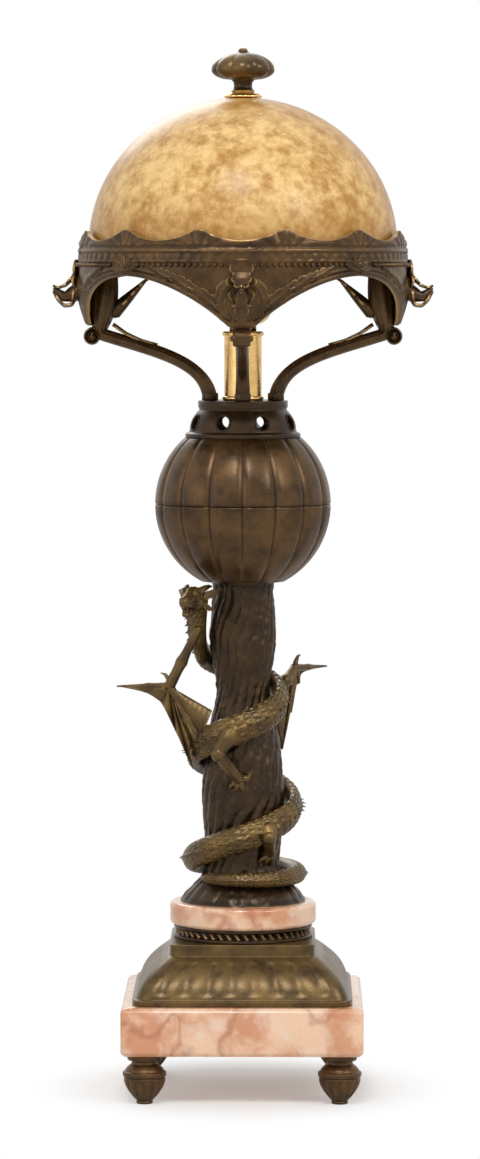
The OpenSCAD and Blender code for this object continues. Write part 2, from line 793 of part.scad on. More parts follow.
module gallery() {
    dip_half = PI * gallery_top_r / crest_count - 2.5;
    dip_r = (pow(dip_half, 2) + pow(crest_dip, 2)) / (2 * crest_dip);
    color(bronze) translate([0, 0, z_rim]) difference() {
        rotate_extrude() polygon(gallery_section);
        for (i = [0:3]) rotate([0, 0, 45 + 90 * i])
            translate([gallery_in / 2, 0, -skirt_h - arch_r]) rotate([0, 90, 0])
                cylinder(r = arch_r, h = gallery_in, $fn = 120);
        for (i = [0:crest_count - 1]) rotate([0, 0, 360 * i / crest_count])
            translate([gallery_in - 10, 0, crest_h - crest_dip + dip_r]) rotate([0, 90, 0])
                cylinder(r = dip_r, h = 30);
        for (a = arm_angles) rotate([0, 0, a])
            translate([ledge_screw_r, 0, -ledge_t - 1]) cylinder(d = arm_screw_d + 2 * slip, h = ledge_t + 2);
    }
}

// A spur leaf springs from each pendant of the skirt and curls out to its tip
module spur_leaf() {
    root_z = [-0.275, -0.55, -0.8] * gallery_drop;
    bend = [mix(gallery_top_r, spur_reach, 0.6), 0, -0.63 * gallery_drop];
    difference() {
        union() {
            hull() for (s = [-1, 1]) {
                translate([gallery_r(root_z[0]), s * (spur_w / 2 - 4), root_z[0]]) sphere(r = 4, $fn = 12);
                translate([gallery_r(root_z[2]), s * 3, root_z[2]]) sphere(r = 3.5, $fn = 12);
            }
            spike([gallery_r(root_z[1]) + 1, 0, root_z[1]], 6, bend, 3.6);
            spike(bend, 3.6, [spur_reach - 1.5, 0, -0.51 * gallery_drop], 1.5);
        }
        rotate_extrude() polygon(concat(
            [[0, -gallery_drop - 1]],
            [for (z = [-gallery_drop - 1:4:1]) [gallery_r(z) + cast_gap, z]],
            [[0, 1]]
        ));
    }
}

module spur_leaves() {
    color(bronze) for (a = arm_angles) translate([0, 0, z_rim]) rotate([0, 0, a]) spur_leaf();
}

// Arms: a thin stem sweeps up and out from the collar, turns at the elbow and thickens into a bracket.
// A scroll lies across the elbow, and a leaf stands off the bracket's inner side

elbow = [gallery_in - 10.5, z_rim - gallery_drop - 6];
arm_low = [
    [arm_foot_r, z_stem + 1], [arm_foot_r + 3, z_stem + 27], elbow - [34, 11], elbow
];
arm_high = [
    elbow, elbow + [4, 1.5], [ledge_screw_r + 1, elbow[1] + 16], [ledge_screw_r, z_rim - ledge_t - 2]
];
arm_steps = 12;
arm_line = concat(
    [for (i = [0:arm_steps]) bezier(arm_low, i / arm_steps)],
    [for (i = [1:arm_steps]) bezier(arm_high, i / arm_steps)]
);
arm_path = [for (p = arm_line) [p[0], 0, p[1]]];
function arm_section(t) = [
    mix(arm_d, bracket_w, ramp(0.5, 0.85, t) - 0.35 * ramp(0.85, 1, t)) / 2 + 0.7 * (1 - ramp(0, 0.15, t)),
    mix(arm_d, bracket_t, ramp(0.55, 0.85, t) - 0.4 * ramp(0.85, 1, t)) / 2 + 0.7 * (1 - ramp(0, 0.15, t))
];

module arm(angle) {
    volute_z = z_rim - gallery_drop - cast_gap - 0.2 - volute_r;
    color(bronze) rotate([0, 0, angle]) difference() {
        union() {
            tube(
                arm_path,
                [for (i = [0:2 * arm_steps]) arm_section(i / (2 * arm_steps))],
                [for (p = arm_path) [0, 1, 0]],
                10
            );
            translate([elbow[0] + volute_r - 0.5, volute_w / 2, volute_z]) rotate([90, 0, 0])
                cylinder(r = volute_r, h = volute_w, $fn = 32);
            translate([ledge_screw_r - 5, 0, elbow[1] + 15]) rotate([0, -45, 0])
                cylinder(r1 = 5.5, r2 = 1, h = inner_leaf_l, $fn = 20);
            translate([arm_foot_r, 0, z_stem]) cylinder(d = arm_pad_d, h = arm_pad_h);
            translate([ledge_screw_r, 0, z_rim - ledge_t - arm_pad_h])
                cylinder(d = arm_pad_d + 3, h = arm_pad_h);
        }
        translate([arm_foot_r, 0, z_stem - 1]) cylinder(d = arm_screw_d + 2 * slip, h = arm_pad_h + 5);
        translate([ledge_screw_r, 0, z_rim - ledge_t - arm_pad_h - 3])
            cylinder(d = arm_screw_d + 2 * slip, h = arm_pad_h + 4);
    }
}

arm_head_d = arm_screw_d + 3;
arm_head_h = 2.5;

module arm_screws() {
    color(steel) for (a = arm_angles) rotate([0, 0, a]) translate([arm_foot_r, 0, z_stem - collar_plate]) {
        translate([0, 0, -arm_head_h]) cylinder(d = arm_head_d, h = arm_head_h);
        cylinder(d = arm_screw_d, h = collar_plate + arm_pad_h + 3);
    }
}

module ledge_screws() {
    color(steel) for (a = arm_angles) rotate([0, 0, a]) translate([ledge_screw_r, 0, z_rim]) {
        cylinder(d = arm_head_d, h = arm_head_h);
        translate([0, 0, -ledge_t - arm_pad_h]) cylinder(d = arm_screw_d, h = ledge_t + arm_pad_h);
    }
}

// Shade and what holds its finial

dome_out = [shade_d / 2, shade_h];
dome_in = dome_out - [shade_wall, shade_wall];
function dome_line(semi, n) = let(top = acos(shade_hole_d / 2 / semi[0]))
    [for (i = [0:n]) [semi[0] * cos(top * i / n), semi[1] * sin(top * i / n)]];
function dome_height(semi, r) = semi[1] * sqrt(1 - pow(r / semi[0], 2));

module shade_gasket() {
    color("#3b3630") translate([0, 0, z_rim])
        washer(shade_d + gallery_gap / 2, shade_d - 2 * shade_wall - 1, gasket_t);
}

module shade_dome() {
    inner = dome_line(dome_in, 28);
    color(amber) translate([0, 0, z_shade]) rotate_extrude($fn = 120) polygon(concat(
        dome_line(dome_out, 28),
        [for (i = [len(inner) - 1:-1:0]) inner[i]]
    ));
}

module crown_cap() {
    r = crown_d / 2;
    color(brass) translate([0, 0, z_crown]) difference() {
        rotate_extrude() polygon(concat(
            [[0, 0], [r - 1, 0]],
            [for (i = [0:5]) [r - 5 * (1 - cos(90 * i / 5)), mix(0.6, crown_t, sin(90 * i / 5))]],
            [[0, crown_t]]
        ));
        translate([0, 0, -1]) cylinder(d = finial_stud_d + 2 * slip, h = crown_t + 2);
    }
}

crown_washer_d = crown_d - 6;
crown_washer_t = 2;
crown_nut_h = 5;
z_crown_washer = z_shade + dome_height(dome_in, crown_washer_d / 2) - crown_washer_t - slip / 2;

module crown_washer() {
    color(brass) translate([0, 0, z_crown_washer])
        washer(crown_washer_d, finial_stud_d + 2 * slip, crown_washer_t);
}

module crown_nut() {
    color(brass) translate([0, 0, z_crown_washer - crown_nut_h])
        hex_nut(finial_stud_d + 4, finial_stud_d + 2 * slip, crown_nut_h);
}

module finial_stud() {
    low = z_crown_washer - crown_nut_h - 2;
    color(brass) translate([0, 0, low]) cylinder(d = finial_stud_d, h = z_finial + finial_stud_in - low);
}

module finial() {
    r = finial_d / 2;
    neck = finial_neck_d / 2;
    cap_h = finial_h - finial_neck_h;
    color(bronze) translate([0, 0, z_finial]) difference() {
        rotate_extrude() polygon(concat(
            [[0, 0], [neck + 2.5, 0], [neck + 2.5, 1.5], [neck, 4], [neck - 0.5, finial_neck_h - 2]],
            [[neck + 2, finial_neck_h], [r - 5, finial_neck_h + 1.5], [r - 1.5, finial_neck_h]],
            [for (i = [0:10]) let(a = 90 * i / 10)
                [mix(r * 0.55, r, pow(cos(a), 0.9)), finial_h - (cap_h - 1.5) * (1 - pow(sin(a), 1.25))]],
            [[0, finial_h]]
        ));
        translate([0, 0, -1]) cylinder(d = finial_stud_d + 2 * turn_play, h = finial_stud_in + 2);
    }
}

// Lamp holder with a key switch

holder_r = holder_d / 2;
shell_t = 1;
liner_t = 1.2;
liner_r = holder_r - shell_t - slip;
ceramic_r = liner_r - liner_t - slip;
z_shell = z_holder + holder_cap_h;
z_ceramic = z_shell + 2;
z_screw = z_ceramic + holder_body_h;
z_key = z_ceramic + holder_body_h / 2;
key_angle = -45;
key_bush_d = key_spindle_d + 4;
key_reach = holder_r + 4;

// Places a shape that lies along Z on the switch's axis, which runs out of the holder's side
module on_key_axis() {
    translate([0, 0, z_key]) rotate([0, 90, key_angle]) children();
}

module holder_cap() {
    hub_r = rod_d / 2 + 4;
    color(brass) translate([0, 0, z_holder]) difference() {
        rotate_extrude() polygon(concat(
            [[0, 0], [hub_r, 0], [hub_r, holder_cap_h * 0.3]],
            [for (i = [1:8]) let(t = i / 8)
                [mix(hub_r, holder_r, sin(90 * t)), mix(holder_cap_h * 0.3, holder_cap_h, 1 - cos(90 * t))]],
            [[holder_r - 1.5, holder_cap_h], [hub_r, holder_cap_h * 0.62], [0, holder_cap_h * 0.62]]
        ));
        translate([0, 0, -1]) cylinder(d = rod_hole_d, h = holder_cap_h + 2);
    }
}

module holder_shell() {
    color(brass) difference() {
        translate([0, 0, z_shell]) difference() {
            union() {
                cylinder(r = holder_r, h = holder_shell_h);
                for (z = [0, holder_shell_h - 3]) translate([0, 0, z]) cylinder(r = holder_r + 0.8, h = 3);
            }
            translate([0, 0, -1]) cylinder(r = holder_r - shell_t, h = holder_shell_h + 2);
        }
        on_key_axis() cylinder(d = key_bush_d + 2 * slip, h = holder_d);
    }
}

module holder_liner() {
    color("#8d6f4c") difference() {
        translate([0, 0, z_shell + 1]) washer(2 * liner_r, 2 * (liner_r - liner_t), holder_shell_h - 2);
        on_key_axis() cylinder(d = key_bush_d + 2 * slip, h = holder_d);
    }
}

module holder_body() {
    color(ceramic) difference() {
        translate([0, 0, z_ceramic]) cylinder(r = ceramic_r, h = holder_body_h);
        on_key_axis() translate([0, 0, 3]) cylinder(d = key_spindle_d + 6 * slip, h = holder_d);
    }
}

screw_in_d = bulb_cap_d + 2 * turn_play;
screw_t = 0.8;
screw_h = holder_shell_h - holder_body_h - 4;
contact_h = 2.5;

module screw_shell() {
    color(brass) translate([0, 0, z_screw]) difference() {
        cylinder(d = screw_in_d + 2 * screw_t, h = screw_h);
        translate([0, 0, screw_t]) cylinder(d = screw_in_d, h = screw_h);
        translate([0, 0, -1]) cylinder(d = 14, h = 3);
    }
}

module centre_contact() {
    color(copper) translate([0, 0, z_screw]) cylinder(d = 8, h = contact_h);
}

module key_bush() {
    color(brass) on_key_axis() difference() {
        union() {
            translate([0, 0, ceramic_r + slip]) cylinder(d = key_bush_d, h = key_reach - ceramic_r - slip);
            translate([0, 0, holder_r + 0.3]) cylinder(d = key_bush_d + 4, h = 2.2);
        }
        cylinder(d = key_spindle_d + 2 * turn_play, h = holder_d);
    }
}

module switch_key() {
    neck_l = 4;
    color(dark_bronze) on_key_axis() {
        translate([0, 0, 4]) cylinder(d = key_spindle_d, h = key_reach + neck_l);
        translate([0, 0, key_reach + neck_l + key_d / 2]) rotate([90, 0, 0])
            cylinder(d = key_d, h = key_t, center = true);
    }
}

// Bulb

z_bulb = z_screw + contact_h + slip;
bulb_contact_h = 2;
z_bulb_cap = z_bulb + bulb_contact_h;
bulb_cap_wall = 1;
bulb_neck_r = bulb_cap_d / 2 - bulb_cap_wall - 2 * slip;
bulb_glass_t = 1;
z_bulb_neck = z_bulb_cap + bulb_cap_h / 2;
z_bulb_ball = z_bulb_cap + bulb_cap_h + bulb_d / 2 + 1;

module bulb_cap() {
    r = bulb_cap_d / 2;
    taper = 3;
    color(steel) translate([0, 0, z_bulb_cap]) rotate_extrude() polygon([
        [0, 0], [5, 0], [r, taper], [r, bulb_cap_h],
        [r - bulb_cap_wall, bulb_cap_h], [r - bulb_cap_wall, taper + 1], [5, taper], [0, taper]
    ]);
}

module bulb_contact() {
    color(copper) translate([0, 0, z_bulb]) cylinder(d = 9, h = bulb_contact_h);
}

module bulb_glass() {
    function ball(r, neck) = let(low = -acos(neck / r)) arc([0, 0], r, low, 90, 18);
    rise = z_bulb_ball - z_bulb_neck;
    outer = ball(bulb_d / 2, bulb_neck_r);
    inner = ball(bulb_d / 2 - bulb_glass_t, bulb_neck_r - bulb_glass_t);
    color("white", 0.6) translate([0, 0, z_bulb_neck]) rotate_extrude() polygon(concat(
        [[bulb_neck_r - bulb_glass_t, 0], [bulb_neck_r, 0]],
        [for (p = outer) p + [0, rise]],
        [for (i = [len(inner) - 1:-1:0]) inner[i] + [0, rise]]
    ));
}

module bulb_mount() {
    flare_r = bulb_neck_r - bulb_glass_t - slip;
    stem_top = z_bulb_ball - z_bulb_neck - 6;
    ring_r = bulb_d / 2 - 14;
    color("white") translate([0, 0, z_bulb_neck]) {
        rotate_extrude() polygon([
            [0, 0], [flare_r, 0], [flare_r, 1.5], [3.5, 8], [2.5, 12], [2, stem_top + 1], [0, stem_top + 1]
        ]);
        translate([0, 0, stem_top]) rotate_extrude() translate([ring_r, 0]) circle(r = 0.6, $fn = 16);
        for (i = [0:3]) translate([0, 0, stem_top]) rotate([0, 90, 90 * i]) cylinder(r = 0.4, h = ring_r);
    }
}

foot(corners[0]);  // front_left_foot
foot(corners[1]);  // front_right_foot
foot(corners[2]);  // rear_left_foot
foot(corners[3]);  // rear_right_foot
foot_studs();
foot_nuts();
marble_plinth();
clamp_washer();
clamp_nut();
bronze_base();
cord_bush();
terminal_block();
terminal_screws();
live_wire();
neutral_wire();
socle_ring();
marble_disc();
tie_rod();
column();
dragon_body();
dragon_head();
left_wing();
right_wing();
lower_globe();
upper_globe();
collar();
stem();
arm(arm_angles[0]);  // front_arm
arm(arm_angles[1]);  // rear_arm
arm(arm_angles[2]);  // left_arm
arm(arm_angles[3]);  // right_arm
arm_screws();
ledge_screws();
gallery();
spur_leaves();
shade_gasket();
shade_dome();
crown_cap();
crown_washer();
crown_nut();
finial_stud();
finial();
holder_cap();
holder_shell();
holder_liner();
holder_body();
screw_shell();
centre_contact();
key_bush();
switch_key();
bulb_cap();
bulb_contact();
bulb_glass();
bulb_mount();
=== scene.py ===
"""A bronze and marble table lamp with a coiled dragon and an amber glass dome, dressed over its CAD frame."""

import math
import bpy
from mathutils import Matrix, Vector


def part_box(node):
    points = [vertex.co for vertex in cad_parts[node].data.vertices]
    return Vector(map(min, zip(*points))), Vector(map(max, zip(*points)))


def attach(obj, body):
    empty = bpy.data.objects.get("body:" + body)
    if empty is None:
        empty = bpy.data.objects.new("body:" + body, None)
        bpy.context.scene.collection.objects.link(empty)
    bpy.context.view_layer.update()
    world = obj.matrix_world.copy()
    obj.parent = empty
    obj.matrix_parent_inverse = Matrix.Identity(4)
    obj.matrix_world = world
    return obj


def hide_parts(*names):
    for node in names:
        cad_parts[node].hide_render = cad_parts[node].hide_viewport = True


bl_info = {
    "name": "Dragon Column Lamp",
    "version": (1, 0, 0),
    "blender": (4, 5, 0),
    "location": "View3D > Sidebar > Lamp",
    "description": "Builds a bronze table lamp with a coiled dragon, scroll arms and an amber glass dome",
    "category": "Object",
}

import bmesh
import bpy
import numpy as np
from mathutils import Matrix, Vector, noise

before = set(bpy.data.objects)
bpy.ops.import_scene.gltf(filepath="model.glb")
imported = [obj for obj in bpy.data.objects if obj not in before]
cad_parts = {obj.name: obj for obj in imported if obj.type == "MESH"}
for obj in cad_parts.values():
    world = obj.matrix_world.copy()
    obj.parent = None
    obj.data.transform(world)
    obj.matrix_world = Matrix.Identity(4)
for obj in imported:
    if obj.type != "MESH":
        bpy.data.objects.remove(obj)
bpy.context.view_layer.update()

MM = 0.001
TURN = 2 * math.pi


def low(node):
    """Height of a CAD node's foot, in millimetres."""
    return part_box(node)[0][2] / MM


def high(node):
    """Height of a CAD node's top, in millimetres."""
    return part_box(node)[1][2] / MM


# Heights of the stack, from the table up, in millimetres
Z_PLINTH = low("marble_plinth")
Z_BASE = high("marble_plinth")
Z_SOCLE = low("socle_ring")
Z_DISC = low("marble_disc")
Z_COLUMN = low("column")
Z_GLOBE = low("lower_globe")
Z_EQUATOR = high("lower_globe")
Z_COLLAR = low("collar")
Z_STEM = low("stem")
Z_RIM = low("shade_gasket")
Z_SHADE = low("shade_dome")
Z_CROWN = low("crown_cap")
Z_FINIAL = low("finial")
COLUMN_H = Z_GLOBE - Z_COLUMN

# Radius of the tie rod's hole, and of the globe, in millimetres
BORE_R = 5.5
GLOBE_R = 59

# The direction across an arm or the head
ACROSS = (0, 1, 0)

# Each arm's angle round the axis in degrees, and each foot's side along X and Y
ARM_ANGLES = {"front_arm": -90, "right_arm": 0, "rear_arm": 90, "left_arm": 180}
FEET = {
    "front_left_foot": (-1, -1), "front_right_foot": (1, -1),
    "rear_left_foot": (-1, 1), "rear_right_foot": (1, 1),
}


def linear(code):
    """A colour written as sRGB hex, as the linear numbers that Blender's shaders take."""
    channels = [int(code[i:i + 2], 16) / 255 for i in (1, 3, 5)]
    return tuple(c / 12.92 if c <= 0.04045 else ((c + 0.055) / 1.055) ** 2.4 for c in channels)


def paint(code):
    """A hex colour with the alpha that a socket asks for."""
    return (*linear(code), 1)


def colour_prop(name, description, code):
    """A colour that a user can change, with its default as hex."""
    return bpy.props.FloatVectorProperty(
        name=name, description=description, size=3, subtype="COLOR", min=0, max=1, default=linear(code))


def length_prop(name, description, mm):
    """A length that a user can change, with its default in millimetres."""
    return bpy.props.FloatProperty(name=name, description=description, default=mm * MM, unit="LENGTH")


def count_prop(name, description, number):
    """A count that a user can change."""
    return bpy.props.IntProperty(name=name, description=description, default=number)


class LampSizes(bpy.types.PropertyGroup):
    """Sizes of the ornament that the CAD frame leaves open."""

    gores: count_prop("Gores", "Panels round the globe", 16)
    gore_depth: length_prop("Gore depth", "Depth of the grooves between the globe's panels", 1.7)
    base_lobes: count_prop("Base lobes", "Lobes on each side of the base", 9)
    base_relief: length_prop("Base relief", "Depth of the lobes on the bronze base", 1.3)
    rock_relief: length_prop("Rock relief", "Depth of the rough casting on the column", 2.2)
    scales_round: count_prop("Scales", "Scales round the dragon's body", 14)
    scale_relief: length_prop("Scale relief", "How far the dragon's scales stand up", 0.9)
    spine_gap: length_prop("Spine spacing", "Distance between the spines of the dragon's back", 6.5)
    crest_lobes: count_prop("Crest lobes", "Lobes round the gallery's crest", 12)
    bead_gap: length_prop("Bead spacing", "Distance between the beads of the gallery", 4.2)
    leaf_rise: length_prop("Leaf rise", "How far the leaves stand up from the gallery", 2.2)
    wing_sag: length_prop("Wing sag", "How deep the wing's skin hangs between its fingers", 4.0)


class LampColours(bpy.types.PropertyGroup):
    """Colours of the lamp's finishes."""

    bronze_deep: colour_prop("Bronze hollows", "Patina in the hollows of the bronze", "#22170d")
    bronze_body: colour_prop("Bronze", "Patina of the bronze", "#5f4526")
    bronze_rubbed: colour_prop("Bronze edges", "Bronze where it is rubbed", "#b8945f")
    dark_body: colour_prop("Dark bronze", "Patina of the dark castings", "#422f1a")
    dark_rubbed: colour_prop("Dark bronze edges", "Dark castings where they are rubbed", "#957349")
    olive_body: colour_prop("Olive bronze", "Patina of the dragon, base and finial", "#6d552d")
    olive_rubbed: colour_prop("Olive bronze edges", "Olive bronze where it is rubbed", "#b99655")
    brass: colour_prop("Brass", "Lacquered brass of the stem", "#f4c983")
    amber_light: colour_prop("Light amber", "Bright mottles of the glass", "#f6cf8c")
    amber_deep: colour_prop("Deep amber", "Dark mottles of the glass", "#b9853f")
    marble_ground: colour_prop("Marble", "Ground of the marble", "#f7cfad")
    marble_blush: colour_prop("Marble blush", "Red clouds in the marble", "#d8936b")
    marble_white: colour_prop("Marble white", "White clouds in the marble", "#f5dcc6")


def sizes():
    """The lamp's sizes on this scene."""
    return bpy.context.scene.lamp_sizes


def colour(name):
    """One of the lamp's colours, with the alpha that a socket asks for."""
    return (*getattr(bpy.context.scene.lamp_colours, name), 1)


# Materials

def add(tree, kind, settings, inputs):
    """Adds a node, sets its properties, and fills its sockets with values or links."""
    made = tree.nodes.new(kind)
    for key, value in settings.items():
        setattr(made, key, value)
    for key, value in inputs.items():
        if isinstance(value, bpy.types.NodeSocket):
            tree.links.new(value, made.inputs[key])
        else:
            made.inputs[key].default_value = value
    return made


def cloud(tree, place, size, detail, **more):
    """Noise with features of a size in metres, as a value from 0 to 1."""
    values = {"Vector": place, "Scale": 1 / size, "Detail": detail, **more}
    return add(tree, "ShaderNodeTexNoise", {}, values).outputs[0]


def spread(tree, value, start, end, least, most, ease="LINEAR"):
    """A value between start and end, as one between least and most."""
    return add(tree, "ShaderNodeMapRange", {"interpolation_type": ease},
               {0: value, 1: start, 2: end, 3: least, 4: most}).outputs[0]


def eased(tree, *given):
    """A spread that eases in and out."""
    return spread(tree, *given, ease="SMOOTHSTEP")


def sums(tree, operation, *values):
    """One step of arithmetic on numbers or links."""
    return add(tree, "ShaderNodeMath", {"operation": operation}, dict(enumerate(values))).outputs[0]


def layered(tree, ground, *layers):
    """A ground colour under layers, each given as its share and its colour."""
    for share, tone in layers:
        values = {0: share, 6: ground, 7: tone}
        ground = add(tree, "ShaderNodeMix", {"data_type": "RGBA"}, values).outputs[2]
    return ground


def grain(tree, strength, depth, height):
    """Relief too fine for the mesh, with a depth in metres, as a normal."""
    values = {"Strength": strength, "Distance": depth, "Height": height}
    return add(tree, "ShaderNodeBump", {}, values).outputs[0]


def feed(tree, shader, **sources):
    """Links sources to a shader's sockets."""
    for name, source in sources.items():
        tree.links.new(source, shader.inputs[name.replace("_", " ")])


def blank(name, **constants):
    """A material with a Principled shader whose constant values are set on its own sockets."""
    made = bpy.data.materials.new(name)
    made.use_nodes = True
    shader = made.node_tree.nodes["Principled BSDF"]
    for key, value in constants.items():
        shader.inputs[key.replace("_", " ")].default_value = value
    place = add(made.node_tree, "ShaderNodeTexCoord", {}, {}).outputs["Object"]
    return made, made.node_tree, shader, place


def cast_bronze(name, patina, metallic):
    """Sand cast bronze under a chemical patina."""
    # The eye sees dark hollows, cloudy brown flats, warm rubbed ridges and a fine cast grain
    made, tree, shader, place = blank(name, Metallic=metallic, Specular_IOR_Level=0.4)
    deep = colour("bronze_deep")
    clouds = cloud(tree, place, 0.016, 5, Roughness=0.62)
    worn = add(tree, "ShaderNodeAttribute", {"attribute_name": "wear"}, {}).outputs["Fac"]
    coat = layered(
        tree, deep, (spread(tree, clouds, 0.36, 0.64, 0.35, 1.0), colour(patina + "_body")),
        (eased(tree, worn, 0.18, 0.5, 0.85, 0.0), deep),
        (eased(tree, worn, 0.53, 0.9, 0.0, 0.95), colour(patina + "_rubbed")))
    feed(tree, shader, Base_Color=coat, Roughness=spread(tree, clouds, 0.3, 0.7, 0.25, 0.42),
         Normal=grain(tree, 0.22, 0.0004, cloud(tree, place, 0.0011, 2)))
    return made


def lacquered_brass():
    """Spun brass under lacquer."""
    # The eye sees warm metal with fine turning lines round the axis and a few tarnished clouds
    made, tree, shader, place = blank("lacquered_brass", Metallic=1.0)
    stretched = add(tree, "ShaderNodeMapping", {}, {"Vector": place, "Scale": (60, 60, 2200)}).outputs[0]
    lines = cloud(tree, stretched, 1.0, 3)
    tarnish = spread(tree, cloud(tree, place, 0.012, 4), 0.5, 0.75, 0.0, 0.6)
    feed(tree, shader, Base_Color=layered(tree, colour("brass"), (tarnish, paint("#b08b50"))),
         Roughness=spread(tree, lines, 0.3, 0.7, 0.22, 0.4), Normal=grain(tree, 0.08, 0.0002, lines))
    return made


def rouge_marble():
    """Polished peach marble with red and white clouds."""
    # The eye sees soft blotches of 10 to 40 mm, fine dark red veins between them and a clear polish
    made, tree, shader, place = blank("polished_rouge_marble", Coat_Weight=0.35, Coat_Roughness=0.08)
    bend = add(tree, "ShaderNodeTexNoise", {}, {"Vector": place, "Scale": 1 / 0.03, "Detail": 4})
    bent = add(tree, "ShaderNodeVectorMath", {"operation": "MULTIPLY_ADD"},
               {0: bend.outputs["Color"], 1: (0.018, 0.018, 0.018), 2: place}).outputs[0]
    crack = sums(tree, "ABSOLUTE", sums(tree, "SUBTRACT", cloud(tree, bent, 0.06, 3), 0.5))
    fine = cloud(tree, place, 0.0025, 3)
    red = cloud(tree, bent, 0.042, 6, Roughness=0.6)
    white = cloud(tree, bent, 0.017, 5, Roughness=0.55)
    stone = layered(
        tree, colour("marble_ground"),
        (eased(tree, red, 0.46, 0.64, 0.0, 0.95), colour("marble_blush")),
        (eased(tree, white, 0.52, 0.72, 0.0, 0.7), colour("marble_white")),
        (eased(tree, crack, 0.0, 0.03, 0.45, 0.0), paint("#a5583c")),
        (spread(tree, fine, 0.35, 0.65, 0.0, 0.12), paint("#d9a27c")))
    feed(tree, shader, Base_Color=stone, Roughness=spread(tree, fine, 0.3, 0.7, 0.16, 0.28))
    return made


def amber_glass():
    """Opal glass with a mottled amber lustre."""
    # The eye sees gold mottles of 3 to 12 mm, a slightly rippled blown surface and a soft gloss. Over them
    # lies painted shade:
    # the glass is darker at its outline as seen and towards its rim, where the gallery's crest shades it
    made, tree, shader, place = blank(
        "amber_lustre_glass", Coat_Weight=0.12, Coat_Roughness=0.2, Specular_IOR_Level=0.25)
    mottle = cloud(tree, place, 0.009, 6, Roughness=0.68)
    tone = sums(tree, "MULTIPLY_ADD", cloud(tree, place, 0.045, 3), 0.45, mottle)
    grit = add(tree, "ShaderNodeTexVoronoi", {}, {"Vector": place, "Scale": 1 / 0.0045}).outputs["Distance"]
    # Painted shade: a mask that is strongest where the dome turns away from the view and over its lowest 40
    # mm beside the gallery
    facing = add(tree, "ShaderNodeLayerWeight", {}, {"Blend": 0.5}).outputs["Facing"]
    height = add(tree, "ShaderNodeSeparateXYZ", {}, {0: place}).outputs[2]
    rim = eased(tree, height, (Z_SHADE + 4) * MM, (Z_SHADE + 40) * MM, 0.5, 0.0)
    edge = sums(tree, "MAXIMUM", eased(tree, facing, 0.4, 1.0, 0.0, 0.6), rim)
    # The last layer is the painted shade, in #a8732f
    glass = layered(
        tree, colour("amber_deep"), (eased(tree, tone, 0.52, 0.92, 0.0, 1.0), colour("amber_light")),
        (spread(tree, grit, 0.05, 0.4, 0.3, 0.0), paint("#c99a52")), (edge, paint("#a8732f")))
    feed(tree, shader, Base_Color=glass, Roughness=spread(tree, mottle, 0.3, 0.7, 0.3, 0.42),
         Normal=grain(tree, 0.25, 0.0008, mottle))
    return made


def plain(name, light, dark, size, **constants):
    """A finish with two close tones that drift over a surface, for the small parts of the works."""
    made, tree, shader, place = blank(name, **constants)
    drift = cloud(tree, place, size * MM, 4)
    feed(tree, shader, Base_Color=layered(tree, paint(dark), (drift, paint(light))),
         Roughness=spread(tree, drift, 0.3, 0.7, 0.3, 0.5))
    return made


def clear_glass():
    """Thin clear glass of the bulb."""
    # The eye sees a bright rim and the filament through a nearly empty middle
    made, tree, shader, place = blank("clear_bulb_glass", Transmission_Weight=1.0, IOR=1.45, Roughness=0.02)
    streak = cloud(tree, place, 0.02, 2)
    feed(tree, shader, Base_Color=layered(tree, paint("#fdfbf6"), (streak, paint("#f3efe6"))))
    return made


# One maker for each material slot of the record
FINISHES = {
    # Darkest bronze, for the column, collar and socle
    "dark_bronze": lambda: cast_bronze("dark_patina_bronze", "dark", 0.55),
    # Brown bronze, for the gallery, arms, globe and feet
    "bronze": lambda: cast_bronze("brown_patina_bronze", "bronze", 0.55),
    # Greener and lighter bronze, for the dragon, base and finial
    "olive_bronze": lambda: cast_bronze("olive_patina_bronze", "olive", 0.5),
    "brass": lacquered_brass,
    "marble": rouge_marble,
    "amber_glass": amber_glass,
    "clear_glass": clear_glass,
    # Zinc plate: cool grey metal with a faint spangle
    "steel": lambda: plain("zinc_plated_steel", "#b9b9b4", "#8f9090", 4, Metallic=1.0),
    # Glazed ceramic: warm white with a wet shine
    "ceramic": lambda: plain("white_glazed_ceramic", "#efebe2", "#ddd6c8", 6, Coat_Weight=0.5),
    # Rubber: dull brown black without a sharp highlight
    "rubber": lambda: plain("black_rubber", "#3a3733", "#24211e", 2),
    # Pressed fibre: matt brown with small flecks
    "fibre": lambda: plain("brown_fibre_sleeve", "#8d7050", "#6d5539", 1.5),
    # Insulation: one plain colour with a waxy shine
    "brown_pvc": lambda: plain("brown_pvc_insulation", "#6b4026", "#55311c", 5),
    "blue_pvc": lambda: plain("blue_pvc_insulation", "#33557f", "#24426a", 5),
    # Copper: pink metal with darker drifts
    "copper": lambda: plain("bright_copper", "#c9814f", "#a9683c", 3, Metallic=1.0),
}


MADE = {}


def finish(slot):
    """The material of a slot, made the first time that it is asked for."""
    if slot not in MADE:
        MADE[slot] = FINISHES[slot]()
    return MADE[slot]


# Small mathematics

def mix(a, b, t):
    """The value at t between a and b."""
    return a + (b - a) * t


def ramp(a, b, x):
    """A smooth step from 0 at a to 1 at b."""
    t = min(1.0, max(0.0, (x - a) / (b - a)))
    return t * t * (3 - 2 * t)


def bezier(p, t):
    """The point at t on a cubic curve of four control points."""
    s = 1 - t
    return p[0] * s ** 3 + p[1] * (3 * s * s * t) + p[2] * (3 * s * t * t) + p[3] * t ** 3


def bump(x, middle, half):
    """A half round of height 1 about the middle, and 0 outside it."""
    d = (x - middle) / half
    return math.sqrt(1 - d * d) if abs(d) < 1 else 0.0


def rough(point, size, octaves=3):
    """Cloudy noise between about -1 and 1 with features of a size in millimetres."""
    return noise.fractal(Vector(point) / size, 1.0, 2.0, octaves)


def polar(r, angle, z):
    """The point at a radius, an angle in degrees and a height."""
    return Vector((r * math.cos(math.radians(angle)), r * math.sin(math.radians(angle)), z))


def fractions(n):
    """Even steps from 0 to 1."""
    return [i / n for i in range(n + 1)]


